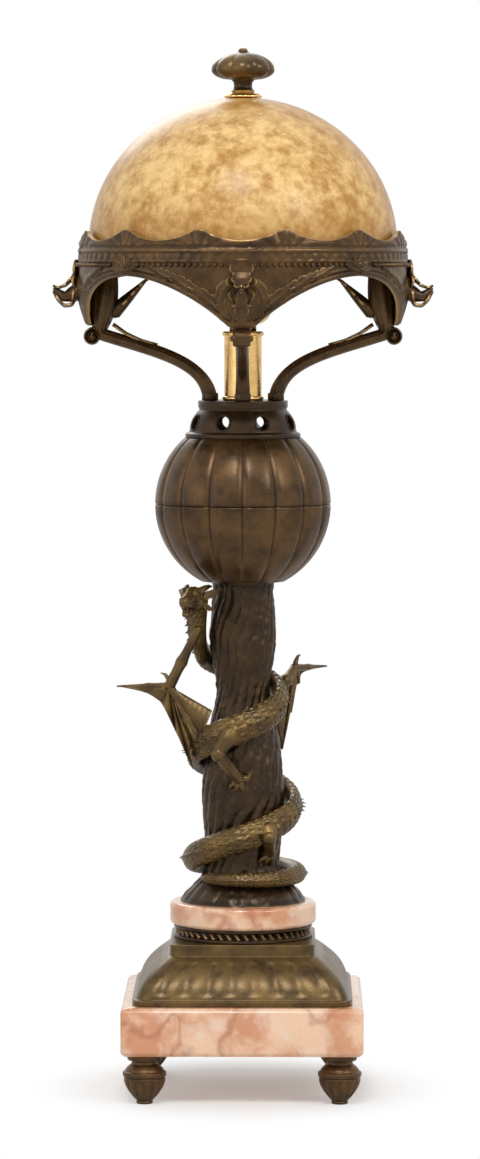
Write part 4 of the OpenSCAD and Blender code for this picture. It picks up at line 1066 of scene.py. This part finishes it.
def wing_parts(node):
    """A wing: an arm, a long finger, three ribs and a thumb, with skin that sags between them."""
    root_angle, root_v, heading, shoulder = WINGS[node]
    root = coil_point(root_angle) - Vector((0, 0, root_v))
    ahead = polar(1, heading, 0)
    normal = Vector((ahead.y, -ahead.x, 0))
    sag = sizes().wing_sag / MM

    def spot(u, v, w=0.0):
        bow = w + 5 * (u / WING_SPAN) ** 2 - 2.5 * u / WING_SPAN
        return root + ahead * u + Vector((0, 0, v)) + normal * bow

    wrist = Vector((0.38 * WING_SPAN, 0.35 * WING_DROP))
    ends = [Vector((WING_SPAN, 0.32 * WING_DROP)), Vector((0.48 * WING_SPAN, 0.08 * WING_DROP)),
            Vector((0.31 * WING_SPAN, -0.4 * WING_DROP)), Vector((0.12 * WING_SPAN, -WING_DROP))]
    hem = ends + [Vector((5.0, root_v - 3))]
    if shoulder:
        hem += [Vector((0, root_v)), Vector((-0.8 * shoulder, -0.05 * WING_DROP))]
    parts = []
    for a, b, dip in zip(hem, hem[1:], (0.26, 0.14, 0.14, 0.05, 0, 0)):
        def web(s, t, a=a, b=b, dip=dip):
            p = wrist.lerp(a.lerp(b, t).lerp(wrist, dip * 4 * t * (1 - t)), s)
            sunk = sag * 4 * t * (1 - t) * (0.25 + 0.75 * s) * min(1, s * 3)
            hang = -sunk - 0.25 * math.cos(9 * TURN * s) * s
            return spot(p.x, p.y, hang + 0.7), spot(p.x, p.y, hang - 0.7)

        parts.append(sheet(26, 16, web))

    def bone(a, b, thick, thin, bow, joints=12):
        over, knuckles = [], []
        for i, t in enumerate(fractions(joints)):
            p = a.lerp(b, t)
            over.append(spot(p.x, p.y, bow * math.sin(math.pi * i / joints)))
            knuckles.append(mix(thick, thin, t) * (1 + 0.28 * math.exp(-((i - 5) / 0.9) ** 2)))
        return bar(over, knuckles, 12)

    parts.append(bone(Vector((2, root_v)), wrist, 4.4, 2.9, 1.2))
    if shoulder:
        parts.append(bone(wrist, Vector((0.05 * WING_SPAN, 1.32 * WING_DROP)), 3.9, 2.6, 0.6))
    for end, thick in zip(ends, (2.7, 2.0, 1.9, 1.9)):
        parts.append(bone(wrist, end, thick, 0.6, 0.9))
    thumb = [wrist, wrist + Vector((0.6, 4)), wrist + Vector((3.2, 7.6)), wrist + Vector((6.4, 8.6))]
    parts.append(bar([spot(p.x, p.y, 0.6) for p in thumb], [2.3, 1.7, 1.1, 0.3], 10))
    parts.append(ball(spot(wrist.x, wrist.y, 0.3), (3.3, 3.3, 3.3)))
    return parts


def leg_parts(a, knee, foot_angle, foot_z):
    """A leg that leaves the body, bends at a knee and grips the column with four clawed toes."""
    start = coil_point(a)
    joint = polar(*knee)
    ankle_r = core_r(foot_z - Z_COLUMN) + 1.8
    ankle = polar(ankle_r, foot_angle, foot_z)
    thigh = start.lerp(joint, 0.55) + Vector((0, 0, 1.5))
    path = [start, start.lerp(thigh, 0.5), thigh, joint, joint.lerp(ankle, 0.5), ankle]
    parts = [bar(path, [6.4, 6.8, 6.2, 4.6, 3.9, 3.6], 16), ball(joint, (5.0, 5.0, 5.0))]
    for fan, reach in ((-48, 9), (-16, 9), (16, 9), (150, 6)):
        toe = []
        for t in (0, 0.35, 0.7, 1.0):
            h = foot_z - reach * t * math.cos(math.radians(fan))
            swing = foot_angle + math.degrees(reach * math.sin(math.radians(fan) * t) / ankle_r) * 1.2
            toe.append(polar(core_r(h - Z_COLUMN) + 1.0 + 1.4 * math.sin(math.pi * t) - 1.6 * t, swing, h))
        parts.append(bar(toe, [2.6, 2.2, 1.5, 0.3], 10))
    return parts


class LAMP_OT_column(bpy.types.Operator):
    """Build the rough cast column."""

    bl_idname = "lamp.column"
    bl_label = "Column"

    def execute(self, context):
        """Makes the column with its relief sunk into the CAD shape."""
        depth = sizes().rock_relief / MM
        side = [(core_r(h), Z_COLUMN + h) for h in np.linspace(0, COLUMN_H, 190)]
        outline = [(BORE_R, Z_COLUMN)] + side + [(BORE_R, Z_GLOBE)]

        def rocky(angle, r, z):
            h = z - Z_COLUMN
            edge = ramp(0, 3, h) * (1 - ramp(COLUMN_H - 3, COLUMN_H, h))
            if r < 10 or edge == 0:
                return r, z
            p = polar(r, math.degrees(angle), z)
            twist = math.sin(9 * angle - h * 0.11 + 1.6 * rough(p, 26, 2))
            strands = 0.55 * abs(twist) + 0.45 * abs(rough(p, 9, 3))
            return r - depth * edge * (1 - min(1, strands)), z

        piece("column_cast", [lathe(outline, 260, rocky, closed=True)], "dark_bronze", nodes=("column",))
        return {"FINISHED"}


class LAMP_OT_dragon(bpy.types.Operator):
    """Build the dragon that winds up the column: body, spines, legs, wings and head."""

    bl_idname = "lamp.dragon"
    bl_label = "Dragon"

    def execute(self, context):
        """Makes the dragon's pieces."""
        legs = leg_parts(618, (39.5, -114, 229), -94, 211) + leg_parts(300, (40.5, -64, 173), -50, 161)
        piece("dragon_body_cast", [dragon_skin()] + legs, "olive_bronze", nodes=("dragon_body",), sharp=60)
        back = dragon_frames()[60:-4]
        ridge = [(p + out * (r * flat + 0.2), out, 0.42 * r) for p, r, flat, out, _ in back]
        row("dragon_spines", [ridge], spine_blade(), sizes().spine_gap / MM, "olive_bronze")
        head_piece()
        for node in WINGS:
            piece(node + "_cast", wing_parts(node), "olive_bronze", nodes=(node,), sharp=60)
        return {"FINISHED"}


# Globe, collar and stem

# The collar's holes, the beads about them, and the neck that they are in
PIERCINGS = [22.5 + 45 * i for i in range(8)]
PIERCE_Z, PIERCE_R, BEADS_R = 10.5, 4.5, 5.2
NECK_LOW, NECK_H = 6, 13


def neck_r(t):
    """Radius of the collar's neck at t of its height."""
    return mix(35.5, 29, t * t)


class LAMP_OT_globe(bpy.types.Operator):
    """Build the gored globe, the pierced collar and the brass stem."""

    bl_idname = "lamp.globe"
    bl_label = "Globe and collar"

    def execute(self, context):
        """Makes the pieces between the column and the arms."""
        count = sizes().gores
        depth = sizes().gore_depth / MM

        def gored(angle, r, z):
            if r < 12:
                return r, z
            near = abs((angle * count / TURN) % 1 - 0.5) * 2
            return r * (1 - depth / GLOBE_R * near ** 5), z

        shells = (("globe_lower", "lower_globe", Z_GLOBE, Z_EQUATOR),
                  ("globe_upper", "upper_globe", Z_EQUATOR, Z_COLLAR))
        for name, node, bottom, top in shells:
            side = []
            for z in np.linspace(bottom, top, 91):
                off = abs(z - Z_EQUATOR)
                seam = 0.9 * (1 - bump(off, 1.6, 1.6)) if off < 1.6 else 0
                side.append((math.sqrt(GLOBE_R ** 2 - off ** 2) - seam, z))
            outline = [(BORE_R, bottom)] + side + [(BORE_R, top)]
            piece(name, [lathe(outline, 384, gored, closed=True)], "bronze", nodes=(node,))
        self.collar()
        self.stem()
        return {"FINISHED"}

    def collar(self):
        """Makes the pierced collar and the beads round its holes."""
        neck = [(neck_r(t), NECK_LOW + NECK_H * t) for t in fractions(12)]
        outline = [(26, 0), (38.5, 0), (38.5, 3), (36, 4)] + neck
        outline += [(30, 21), (30, 25), (BORE_R, 25), (BORE_R, 21), (26, 21)]
        ring = raised(fillet(outline + outline[:1], 0.8)[:-1], Z_COLLAR)
        cast = raw("collar_cast", [lathe(ring, 192, closed=True)])
        holes, rims = [], []
        for angle in PIERCINGS:
            path = [polar(1, angle, 0) * r + Vector((0, 0, Z_COLLAR + PIERCE_Z)) for r in (20, 30, 45)]
            holes.append(bar(path, [PIERCE_R] * 3, 32))
            rim = []
            for i in range(41):
                f = TURN * i / 40
                z = PIERCE_Z + BEADS_R * math.sin(f)
                r = neck_r(min(1, max(0, (z - NECK_LOW) / NECK_H)))
                way = polar(1, angle + math.degrees(BEADS_R * math.cos(f) / r), 0)
                rim.append((way * r + Vector((0, 0, Z_COLLAR + z)), way, 1.0))
            rims.append(rim)
        cut(cast, holes)
        dress(cast, "dark_bronze", nodes=("collar",))
        row("collar_beads", rims, ball((0, 0, 0), (0.75, 0.75, 0.75), 8), 1.5, "dark_bronze")

    def stem(self):
        """Makes the brass tube with a bead at each end."""
        r, bead, inside = 12.5, 1.5, 10

        def ring(middle):
            half = np.linspace(-math.pi / 2, math.pi / 2, 9)
            return [(r + bead * math.cos(a), middle + bead * math.sin(a)) for a in half]

        outline = [(inside, 0)] + ring(bead) + [(r, 4.2), (r, 41.8)] + ring(44.5) + [(inside, 46)]
        piece("stem_tube", [lathe(raised(outline, Z_STEM), 128, closed=True)], "brass", nodes=("stem",))


# Arms

ARM_LOW = [Vector(p) for p in ((22, 464), (25, 490), (60, 496), (94, 507))]
ARM_HIGH = [Vector(p) for p in ((94, 507), (98, 508.5), (92, 523), (91, 558))]
ARM_STEPS = 48
SCROLL_R, SCROLL_Z, SCROLL_STEPS = 100.5, 505.4, 60


def arm_half(t):
    """Half the width and half the depth of an arm at t of its length."""
    foot = 0.7 * (1 - ramp(0, 0.15, t))
    wide = mix(8.5, 22, ramp(0.5, 0.85, t) - 0.35 * ramp(0.85, 1, t)) / 2 + foot
    deep = mix(8.5, 19, ramp(0.55, 0.85, t) - 0.4 * ramp(0.85, 1, t)) / 2 + foot
    return wide, deep


def flat_leaf(points, half, lobes, rise, notch=0.4):
    """A leaf along a curve of radius and height points, in the plane of an arm, curling across it."""
    path = [Vector(p) for p in points]
    lengths = [0.0]
    for a, b in zip(path, path[1:]):
        lengths.append(lengths[-1] + (b - a).length)

    def at(s):
        d = s * lengths[-1]
        for i in range(len(path) - 1):
            if d <= lengths[i + 1] or i == len(path) - 2:
                f = (d - lengths[i]) / (lengths[i + 1] - lengths[i])
                return path[i].lerp(path[i + 1], f)

    def place(s, across, up):
        p = at(s)
        aim = (at(min(1, s + 0.03)) - at(max(0, s - 0.03))).normalized()
        out = Vector((aim.y, -aim.x))
        q = p + out * (up - 0.02 * across * across)
        return Vector((q.x, across, q.y))

    return leaf(place, half, lobes, rise, 0.9, notch)


def arm_parts():
    """One arm along +X: a fluted scroll with leaves at its elbow and bracket, and its two pads."""
    steps, sides, side = fractions(ARM_STEPS), 48, Vector(ACROSS)
    line = [bezier(ARM_LOW, t) for t in steps] + [bezier(ARM_HIGH, t) for t in steps[1:]]
    path = [Vector((p.x, 0, p.y)) for p in line]
    loops = []
    for i, (p, aim) in enumerate(zip(path, directions(path))):
        wide, deep = arm_half(i / (2 * ARM_STEPS))
        cross = aim.cross(side)
        loop = []
        for k in range(sides):
            f = TURN * k / sides
            flute = 1 - 0.07 * (1 - abs(math.cos(4 * f))) ** 1.5
            loop.append(p + side * (wide * flute * math.cos(f)) + cross * (deep * flute * math.sin(f)))
        loops.append(loop)
    parts = [rings(loops)]
    coil, thick = [], []
    for i, t in enumerate(fractions(SCROLL_STEPS)):
        f = math.radians(110 - 12 * i)
        roll = mix(5.8, 1.6, t ** 0.8)
        coil.append((SCROLL_R + roll * math.cos(f), 0, SCROLL_Z + roll * math.sin(f)))
        thick.append((mix(6.0, 5.0, t), 1.15))
    parts.append(bar(coil, thick, 20, ACROSS))
    parts.append(bar([(SCROLL_R, y, SCROLL_Z) for y in (-6.4, 0, 6.4)], [1.9, 1.9, 1.9], 20))
    for points, half, lobes, rise in (
            ([(101, 548), (101.6, 536), (101.4, 526), (99.5, 517), (97, 511.5)], 9.5, 4, 2.2),
            ([(87, 513.5), (78, 507.5), (68, 503.2), (57, 500.4)], 5.5, 3, 1.6),
            ([(88, 521), (80, 528), (72, 536.5), (66.5, 542), (62.5, 544.4)], 7.0, 4, 2.2)):
        parts.append(flat_leaf(points, half, lobes, rise))
    parts.append(bar([(86, 0, 522), (77, 0, 531), (64.5, 0, 543.5)], [5.2, 3.6, 0.9], 16))
    for bottom, r, d in ((463, 22, 11), (555, 91, 14)):
        pad = fillet([(0, bottom), (d / 2, bottom), (d / 2, bottom + 5), (0, bottom + 5)], 0.8)
        parts.append(moved(lathe(pad, 40), Matrix.Translation((r, 0, 0))))
    return parts


class LAMP_OT_arms(bpy.types.Operator):
    """Build the four scroll arms that carry the gallery."""

    bl_idname = "lamp.arms"
    bl_label = "Arms"

    def execute(self, context):
        """Makes the arms, each on its own node."""
        arm = arm_parts()
        for node, angle in ARM_ANGLES.items():
            piece(node + "_scroll", [turned(p, angle) for p in arm], "bronze", nodes=(node,), sharp=60)
        return {"FINISHED"}


# Gallery

# The wall's radius at its top, how far it bellies out and tucks in, and the heights of its edges
GALLERY_TOP, BELLY, TUCK = 107.5, 2.5, 6.0
BELLY_Z, DROP, SKIRT, ARCH_R = -12, 51, 18, 89
CREST, DIP = 12, 7

# The radius that the arches are measured at, half the flat between the crest's dips, the wall's thickness,
# how deep its ground lies under the CAD face, and the height of the beads
SKIRT_R, CREST_FLAT, WALL, SUNK = 107, 2.5, 3.0, 0.4
BEAD_Z = -10.8

# Rolls on the wall by their rise, middle and half width: over the skirt's edge, and over the ledge
EDGE_ROLLS = ((1.3, 1.9, 1.9), (0.5, 5.4, 0.9))
LEDGE_ROLLS = ((1.1, -1.2, 1.5), (0.6, -8.2, 1.0))


def gallery_r(z):
    """Outer radius of the gallery's wall at a height over its ledge."""
    if z > BELLY_Z:
        return GALLERY_TOP + BELLY - BELLY * ((z - BELLY_Z) / (CREST - BELLY_Z)) ** 2
    return GALLERY_TOP + BELLY - TUCK * ((z - BELLY_Z) / (DROP + BELLY_Z)) ** 2


def skirt_edge(angle):
    """Height of the skirt's scalloped lower edge at an angle in degrees."""
    off = angle % 90 - 45
    across = SKIRT_R * math.sin(math.radians(off))
    return max(-DROP, -SKIRT - ARCH_R + math.sqrt(ARCH_R ** 2 - across ** 2))


def crest_edge(angle):
    """Height of the cresting's lobed upper edge at an angle in degrees."""
    count = sizes().crest_lobes
    gap = 360 / count
    off = (angle + gap / 2) % gap - gap / 2
    across = math.radians(off) * GALLERY_TOP
    dip_half = math.pi * GALLERY_TOP / count - CREST_FLAT
    dip_r = (dip_half ** 2 + DIP ** 2) / (2 * DIP)
    if abs(across) >= dip_half:
        return CREST
    return CREST - DIP + dip_r - math.sqrt(dip_r ** 2 - across ** 2)


def gallery_relief(angle, z, foot, top):
    """How far the gallery's face stands out: a roll on the skirt's edge, mouldings, and ribs on the crest."""
    lift = sum(rise * bump(z - foot, middle, half) for rise, middle, half in EDGE_ROLLS)
    lift += sum(rise * bump(z, middle, half) for rise, middle, half in LEDGE_ROLLS)
    if z > 1:
        gap = 360 / sizes().crest_lobes
        off = ((angle % gap) - gap / 2) * math.radians(1) * GALLERY_TOP
        fan = math.atan2(off, z + 5)
        lift += 1.0 * ramp(1, 3, z) * abs(math.cos(5.2 * fan)) ** 0.7 * (1 - 0.4 * ramp(top - 1.5, top, z))
    elif -8 < z < -2.5:
        lift += 0.7 * bump(z, -5.2, 2.4) * (0.5 + 0.5 * math.cos(math.radians(angle) * 90))
    return lift


def wall(angle, z, lift):
    """The point on the gallery's face at an angle in degrees and a height over its ledge."""
    return polar(gallery_r(z) + lift, angle, Z_RIM + z)


def wall_leaf(angle, points, half, lobes, rise, notch=0.4):
    """A leaf that lies on the gallery's face, along a curve of across and up points about an angle."""
    path = [Vector(p) for p in points]

    def at(s):
        f = min(s, 0.9999) * (len(path) - 1)
        i = int(f)
        return path[i].lerp(path[i + 1], f - i)

    def place(s, across, up):
        p = at(s)
        aim = (at(min(1, s + 0.06)) - at(max(0, s - 0.06))).normalized()
        q = p + Vector((-aim.y, aim.x)) * across
        return wall(angle + math.degrees(q.x / GALLERY_TOP), q.y, up)

    return leaf(place, half, lobes, rise, 0.8, notch, 34, 10)


def gallery_wall():
    """The gallery's wall: a band whose edges follow the skirt's arches and the crest's lobes."""
    steps, rise = 720, 40
    loops = []
    for i in range(steps):
        angle = 360 * i / steps
        foot, top = skirt_edge(angle), crest_edge(angle)
        face = [mix(foot, top, t) for t in fractions(rise)]
        loop = [wall(angle, z, gallery_relief(angle, z, foot, top) - SUNK) for z in face]
        loop += [wall(angle, mix(top, foot, t), -WALL) for t in fractions(8)]
        loops.append(loop)
    m = len(loops[0])
    verts = [p for loop in loops for p in loop]
    faces = []
    for i in range(steps):
        j = (i + 1) % steps
        faces.extend((i * m + k, j * m + k, j * m + (k + 1) % m, i * m + (k + 1) % m) for k in range(m))
    return verts, faces


def skirt_leaves(angle):
    """The leaves about one arch of the skirt: fronds along its edge and a fan at its crown."""
    rise = sizes().leaf_rise / MM
    parts = []
    for s in (-1, 1):
        for start, end, half in ((68, 49, 6.4), (53, 35, 6.0), (38, 21, 4.8)):
            line = []
            for t in fractions(8):
                x = mix(start, end, t)
                edge = skirt_edge(45 + math.degrees(x / GALLERY_TOP))
                line.append((s * x, edge + mix(7.0, 9.5, t ** 2)))
            parts.append(wall_leaf(angle, line, half, 3, rise))
    for lean, length, half in ((-78, 13, 2.8), (-42, 12, 3.0), (0, 11.5, 3.2), (42, 12, 3.0), (78, 13, 2.8)):
        way = Vector((math.sin(math.radians(lean)), math.cos(math.radians(lean))))
        line = [Vector((0, -15.0)) + way * (length * i / 4) for i in range(5)]
        parts.append(wall_leaf(angle, line, half, 2, rise, 0.25))
    parts.append(ball(wall(angle, -14.4, 0.6), (2.6, 2.6, 2.6), 14))
    return parts


def spur_parts():
    """One spur along +X: two leaves over a core that curl out to the tip, and three on the pendant."""
    lower = [(111.0, -7), (111.6, -16), (111.3, -25), (111.8, -32), (114.6, -37.4), (119.2, -38.0),
             (123.4, -34.2), (126.6, -28)]
    upper = [(110.5, -14), (114, -20), (118.6, -24.4), (123.0, -26.0), (127.0, -24.6)]
    core = [(108, -27), (114, -30.5), (120, -31.6), (126, -26.6)]
    thick = [(8.5, 6.0), (6.5, 5.4), (4.4, 3.6), (1.6, 1.2)]
    parts = [
        flat_leaf(raised(lower, Z_RIM), 13, 5, 2.4, 0.45), flat_leaf(raised(upper, Z_RIM), 9, 4, 1.8),
        bar([(r, 0, z) for r, z in raised(core, Z_RIM)], thick, 20, ACROSS),
    ]
    for s in (-1, 1):
        side = [(s * 5, -20), (s * 12, -27), (s * 15, -35), (s * 12, -42), (s * 6, -47)]
        parts.append(wall_leaf(0, side, 6.0, 3, 2.2))
    parts.append(wall_leaf(0, [(0, -30), (0, -38), (0, -45), (0, -50)], 7.0, 3, 2.4))
    return parts


class LAMP_OT_gallery(bpy.types.Operator):
    """Build the gallery that carries the shade: wall, ledge, leaves, beads and spurs."""

    bl_idname = "lamp.gallery"
    bl_label = "Gallery"

    def execute(self, context):
        """Makes the gallery's pieces."""
        ledge = [(86.5, -4), (105.5, -4), (105.5, 0), (86.5, 0)]
        ring = raised(fillet(ledge + ledge[:1], 0.6)[:-1], Z_RIM)
        band = [gallery_wall(), lathe(ring, 240, closed=True)]
        piece("gallery_band", band, "bronze", nodes=("gallery",), sharp=60)
        leaves = [p for angle in (45, 135, 225, 315) for p in skirt_leaves(angle)]
        piece("gallery_leaves", leaves, "bronze", sharp=70)
        spur = spur_parts()
        spurs = [turned(p, angle) for angle in ARM_ANGLES.values() for p in spur]
        piece("spur_leaves_curled", spurs, "bronze", nodes=("spur_leaves",), sharp=70)
        bead_r, up = gallery_r(BEAD_Z) + 0.3, Vector((0, 0, Z_RIM + BEAD_Z))
        arcs = []
        for start in ARM_ANGLES.values():
            ways = [polar(1, start - 38 + i, 0) for i in range(77)]
            arcs.append([(way * bead_r + up, way, 1.0) for way in ways])
        row("gallery_beads", arcs, ball((0, 0, 0), (1.5, 1.5, 1.5), 8), sizes().bead_gap / MM, "bronze")
        return {"FINISHED"}


# Shade, finial and the works

# The dome's radius and height, its glass, and the hole at its top
DOME_R, DOME_H, GLASS, EYE_R = 103, 99, 4, 4


class LAMP_OT_shade(bpy.types.Operator):
    """Build the amber glass dome and its crown."""

    bl_idname = "lamp.shade"
    bl_label = "Shade"

    def execute(self, context):
        """Makes the pieces that lift off with the shade."""
        def curve(wide, tall, steps=72):
            arc = [math.acos(EYE_R / wide) * i / steps for i in range(steps + 1)]
            return [(wide * math.cos(a), Z_SHADE + tall * math.sin(a)) for a in arc]

        outer, inner = curve(DOME_R, DOME_H), curve(DOME_R - GLASS, DOME_H - GLASS)
        outline = fillet(outer + inner[::-1] + outer[:1], 1.2)[:-1]
        piece("dome_glass", [lathe(outline, 192, closed=True)], "amber_glass", "shade", ("shade_dome",))
        cap = [(3.3, 0), (12.4, 0), (13, 0.5), (12.6, 1.3), (11, 2.3), (8.4, 3), (3.3, 3)]

        def petals(angle, r, z):
            return (r - 0.8 * ramp(8, 12, r) * (1 - abs(math.sin(6 * angle)) ** 0.6)), z

        crown = lathe(raised(spaced(fillet(cap, 0.4), 0.6), Z_CROWN), 144, petals, closed=True)
        piece("crown_petals", [crown], "brass", "shade", ("crown_cap",))
        for node, slot in (("crown_washer", "steel"), ("crown_nut", "brass"), ("finial_stud", "brass")):
            smooth_copy(node, slot, "shade")
        return {"FINISHED"}


class LAMP_OT_finial(bpy.types.Operator):
    """Build the lobed finial that clamps the shade."""

    bl_idname = "lamp.finial"
    bl_label = "Finial"

    def execute(self, context):
        """Makes the finial with its lobed cap."""
        outline = [(3.3, 0.3), (7.4, 0.3), (7.8, 1.6), (6.6, 2.6), (6.0, 4.6), (6.3, 7.2), (8.0, 9.0)]
        quarter = [math.pi / 2 * i / 14 for i in range(1, 15)]
        outline += [(8.0 + 13.0 * math.sin(a), 9.0 + 6.4 * (1 - math.cos(a))) for a in quarter]
        outline += [(21.0 * math.cos(a), 15.4 + 11.6 * math.sin(a)) for a in np.linspace(0.1, 1.35, 22)]
        outline += [(3.6, 27.4), (3.0, 28.2), (3.0, 28.8), (2.2, 29.7), (0, 30)]

        def lobed(angle, r, z):
            fade = ramp(7, 14, r)
            return r * (1 - 0.085 * fade * (1 - abs(math.cos(4 * angle)) ** 0.8)), z

        parts = [lathe(raised([(0, 0.3)] + outline, Z_FINIAL - 0.3), 160, lobed)]
        piece("finial_cap", parts, "olive_bronze", "finial", ("finial",))
        return {"FINISHED"}


class LAMP_OT_works(bpy.types.Operator):
    """Finish the lamp holder, the bulb, the switch and the wiring."""

    bl_idname = "lamp.works"
    bl_label = "Works"

    def execute(self, context):
        """Gives the working parts their smooth skins and finishes."""
        for node, slot, *body in (
                ("holder_cap", "brass"), ("holder_shell", "brass"), ("holder_liner", "fibre"),
                ("holder_body", "ceramic"), ("screw_shell", "brass"), ("centre_contact", "copper"),
                ("key_bush", "brass"), ("switch_key", "brass", "switch"), ("bulb_cap", "brass", "bulb"),
                ("bulb_contact", "steel", "bulb"), ("bulb_glass", "clear_glass", "bulb"),
                ("bulb_mount", "ceramic", "bulb"), ("shade_gasket", "rubber"), ("foot_studs", "steel"),
                ("foot_nuts", "steel"), ("clamp_washer", "steel"), ("clamp_nut", "steel"),
                ("cord_bush", "brass"), ("terminal_block", "ceramic"), ("terminal_screws", "brass"),
                ("live_wire", "brown_pvc"),
                ("neutral_wire", "blue_pvc"), ("tie_rod", "steel"), ("arm_screws", "steel"),
                ("ledge_screws", "steel")):
            smooth_copy(node, slot, *body)
        return {"FINISHED"}


# Stage

WHITE = (1, 1, 1, 1)
FLOOR_HALF = 8.0

# Each light's name, place, width in metres and power in watts, and the point that all are turned to
LIGHTS = (
    ("key", (-0.2, -2.3, 3.4), 1.2, 62), ("side", (2.2, -2.0, 2.4), 1.2, 30),
    ("fill", (-2.4, -1.8, 1.2), 2.0, 10), ("back", (-0.6, 2.4, 2.0), 1.6, 20),
)
LIT = (0, 0, 0.35)

# The camera's sensor in millimetres, its focal length and picture height in pixels, its place and its target
SENSOR, FOCAL_PX, PICTURE_PX = 24, 4936, 1159
CAMERA_FAR, CAMERA_HIGH, CAMERA_AROUND = 3.3, 0.55, math.radians(0.5)
SEEN = (-0.002, 0, 0.343)


def aimed(obj, spot, target):
    """Puts a light or a camera at a spot and turns it to a target."""
    obj.location = spot
    obj.rotation_euler = (Vector(target) - obj.location).to_track_quat("-Z", "Y").to_euler()


class LAMP_OT_stage(bpy.types.Operator):
    """Set the pale floor, the soft light and the camera."""

    bl_idname = "lamp.stage"
    bl_label = "Stage"

    def execute(self, context):
        """Makes the floor, the world, the lamps and the camera."""
        scene = context.scene
        scene.view_settings.view_transform = "Standard"
        mesh = bpy.data.meshes.new("floor")
        corners = [(FLOOR_HALF * x, FLOOR_HALF * y, 0) for x, y in ((-1, -1), (1, -1), (1, 1), (-1, 1))]
        mesh.from_pydata(corners, [], [(0, 1, 2, 3)])
        floor = linked("floor", mesh)
        mesh.materials.append(self.paper())
        self.sky(scene)
        for name, spot, size, power in LIGHTS:
            data = bpy.data.lights.new(name, "AREA")
            data.shape = "DISK"
            data.size = size
            data.energy = power
            aimed(linked(name, data), spot, LIT)
        self.camera(scene)
        return {"FINISHED"}

    def paper(self):
        """White paper that keeps the shadow under the lamp and runs out into plain white."""
        made, tree, shader, place = blank("white_paper_floor", Roughness=0.9, Base_Color=paint("#f7f7f6"))
        far = add(tree, "ShaderNodeVectorMath", {"operation": "LENGTH"}, {0: place}).outputs["Value"]
        ray = add(tree, "ShaderNodeLightPath", {}, {}).outputs["Is Camera Ray"]
        seen = sums(tree, "MULTIPLY", eased(tree, far, 0.06, 0.15, 0.25, 1.0), ray)
        white = add(tree, "ShaderNodeEmission", {}, {"Color": WHITE, "Strength": 1.0})
        both = add(tree, "ShaderNodeMixShader", {}, {0: seen, 1: shader.outputs[0], 2: white.outputs[0]})
        tree.links.new(both.outputs[0], tree.nodes["Material Output"].inputs["Surface"])
        return made

    def sky(self, scene):
        """Plain white for the camera and for reflections, and a softer white that lights the lamp."""
        world = bpy.data.worlds.new("studio")
        scene.world = world
        world.use_nodes = True
        tree = world.node_tree
        ray = add(tree, "ShaderNodeLightPath", {}, {}).outputs
        seen = sums(tree, "MAXIMUM", ray["Is Camera Ray"], ray["Is Glossy Ray"])
        seen = sums(tree, "MAXIMUM", seen, ray["Is Transmission Ray"])
        feed(tree, tree.nodes["Background"], Strength=spread(tree, seen, 0, 1, 0.3, 1.0))
        tree.nodes["Background"].inputs["Color"].default_value = WHITE

    def camera(self, scene):
        """The photograph's view: level with the shade's rim, a long way off."""
        data = bpy.data.cameras.new("camera")
        data.sensor_fit = "VERTICAL"
        data.sensor_height = SENSOR
        data.lens = SENSOR * FOCAL_PX / PICTURE_PX
        across, back = CAMERA_FAR * math.sin(CAMERA_AROUND), CAMERA_FAR * math.cos(CAMERA_AROUND)
        scene.camera = linked("camera", data)
        aimed(scene.camera, (across, -back, CAMERA_HIGH), SEEN)


class LAMP_PT_panel(bpy.types.Panel):
    """The lamp's sizes, colours and builders."""

    bl_idname = "LAMP_PT_panel"
    bl_label = "Dragon Column Lamp"
    bl_space_type = "VIEW_3D"
    bl_region_type = "UI"
    bl_category = "Lamp"

    def draw(self, context):
        """Lists the settings and the operators."""
        for group in (context.scene.lamp_sizes, context.scene.lamp_colours):
            for name in group.__annotations__:
                self.layout.prop(group, name)
        for builder in BUILDERS:
            self.layout.operator(builder.bl_idname)


BUILDERS = (
    LAMP_OT_foundation, LAMP_OT_column, LAMP_OT_dragon, LAMP_OT_globe, LAMP_OT_arms, LAMP_OT_gallery,
    LAMP_OT_shade, LAMP_OT_finial, LAMP_OT_works, LAMP_OT_stage,
)
CLASSES = (LampSizes, LampColours, *BUILDERS, LAMP_PT_panel)


def register():
    """Registers the classes and puts the lamp's settings on the scene."""
    for kind in CLASSES:
        bpy.utils.register_class(kind)
    bpy.types.Scene.lamp_sizes = bpy.props.PointerProperty(type=LampSizes)
    bpy.types.Scene.lamp_colours = bpy.props.PointerProperty(type=LampColours)


def unregister():
    """Takes the settings and the classes away again."""
    del bpy.types.Scene.lamp_sizes
    del bpy.types.Scene.lamp_colours
    for kind in reversed(CLASSES):
        bpy.utils.unregister_class(kind)


def main():
    """Builds the whole lamp on its stage."""
    register()
    for builder in BUILDERS:
        group, name = builder.bl_idname.split(".")
        getattr(getattr(bpy.ops, group), name)()
    bpy.context.view_layer.update()


if __name__ == "__main__":
    main()
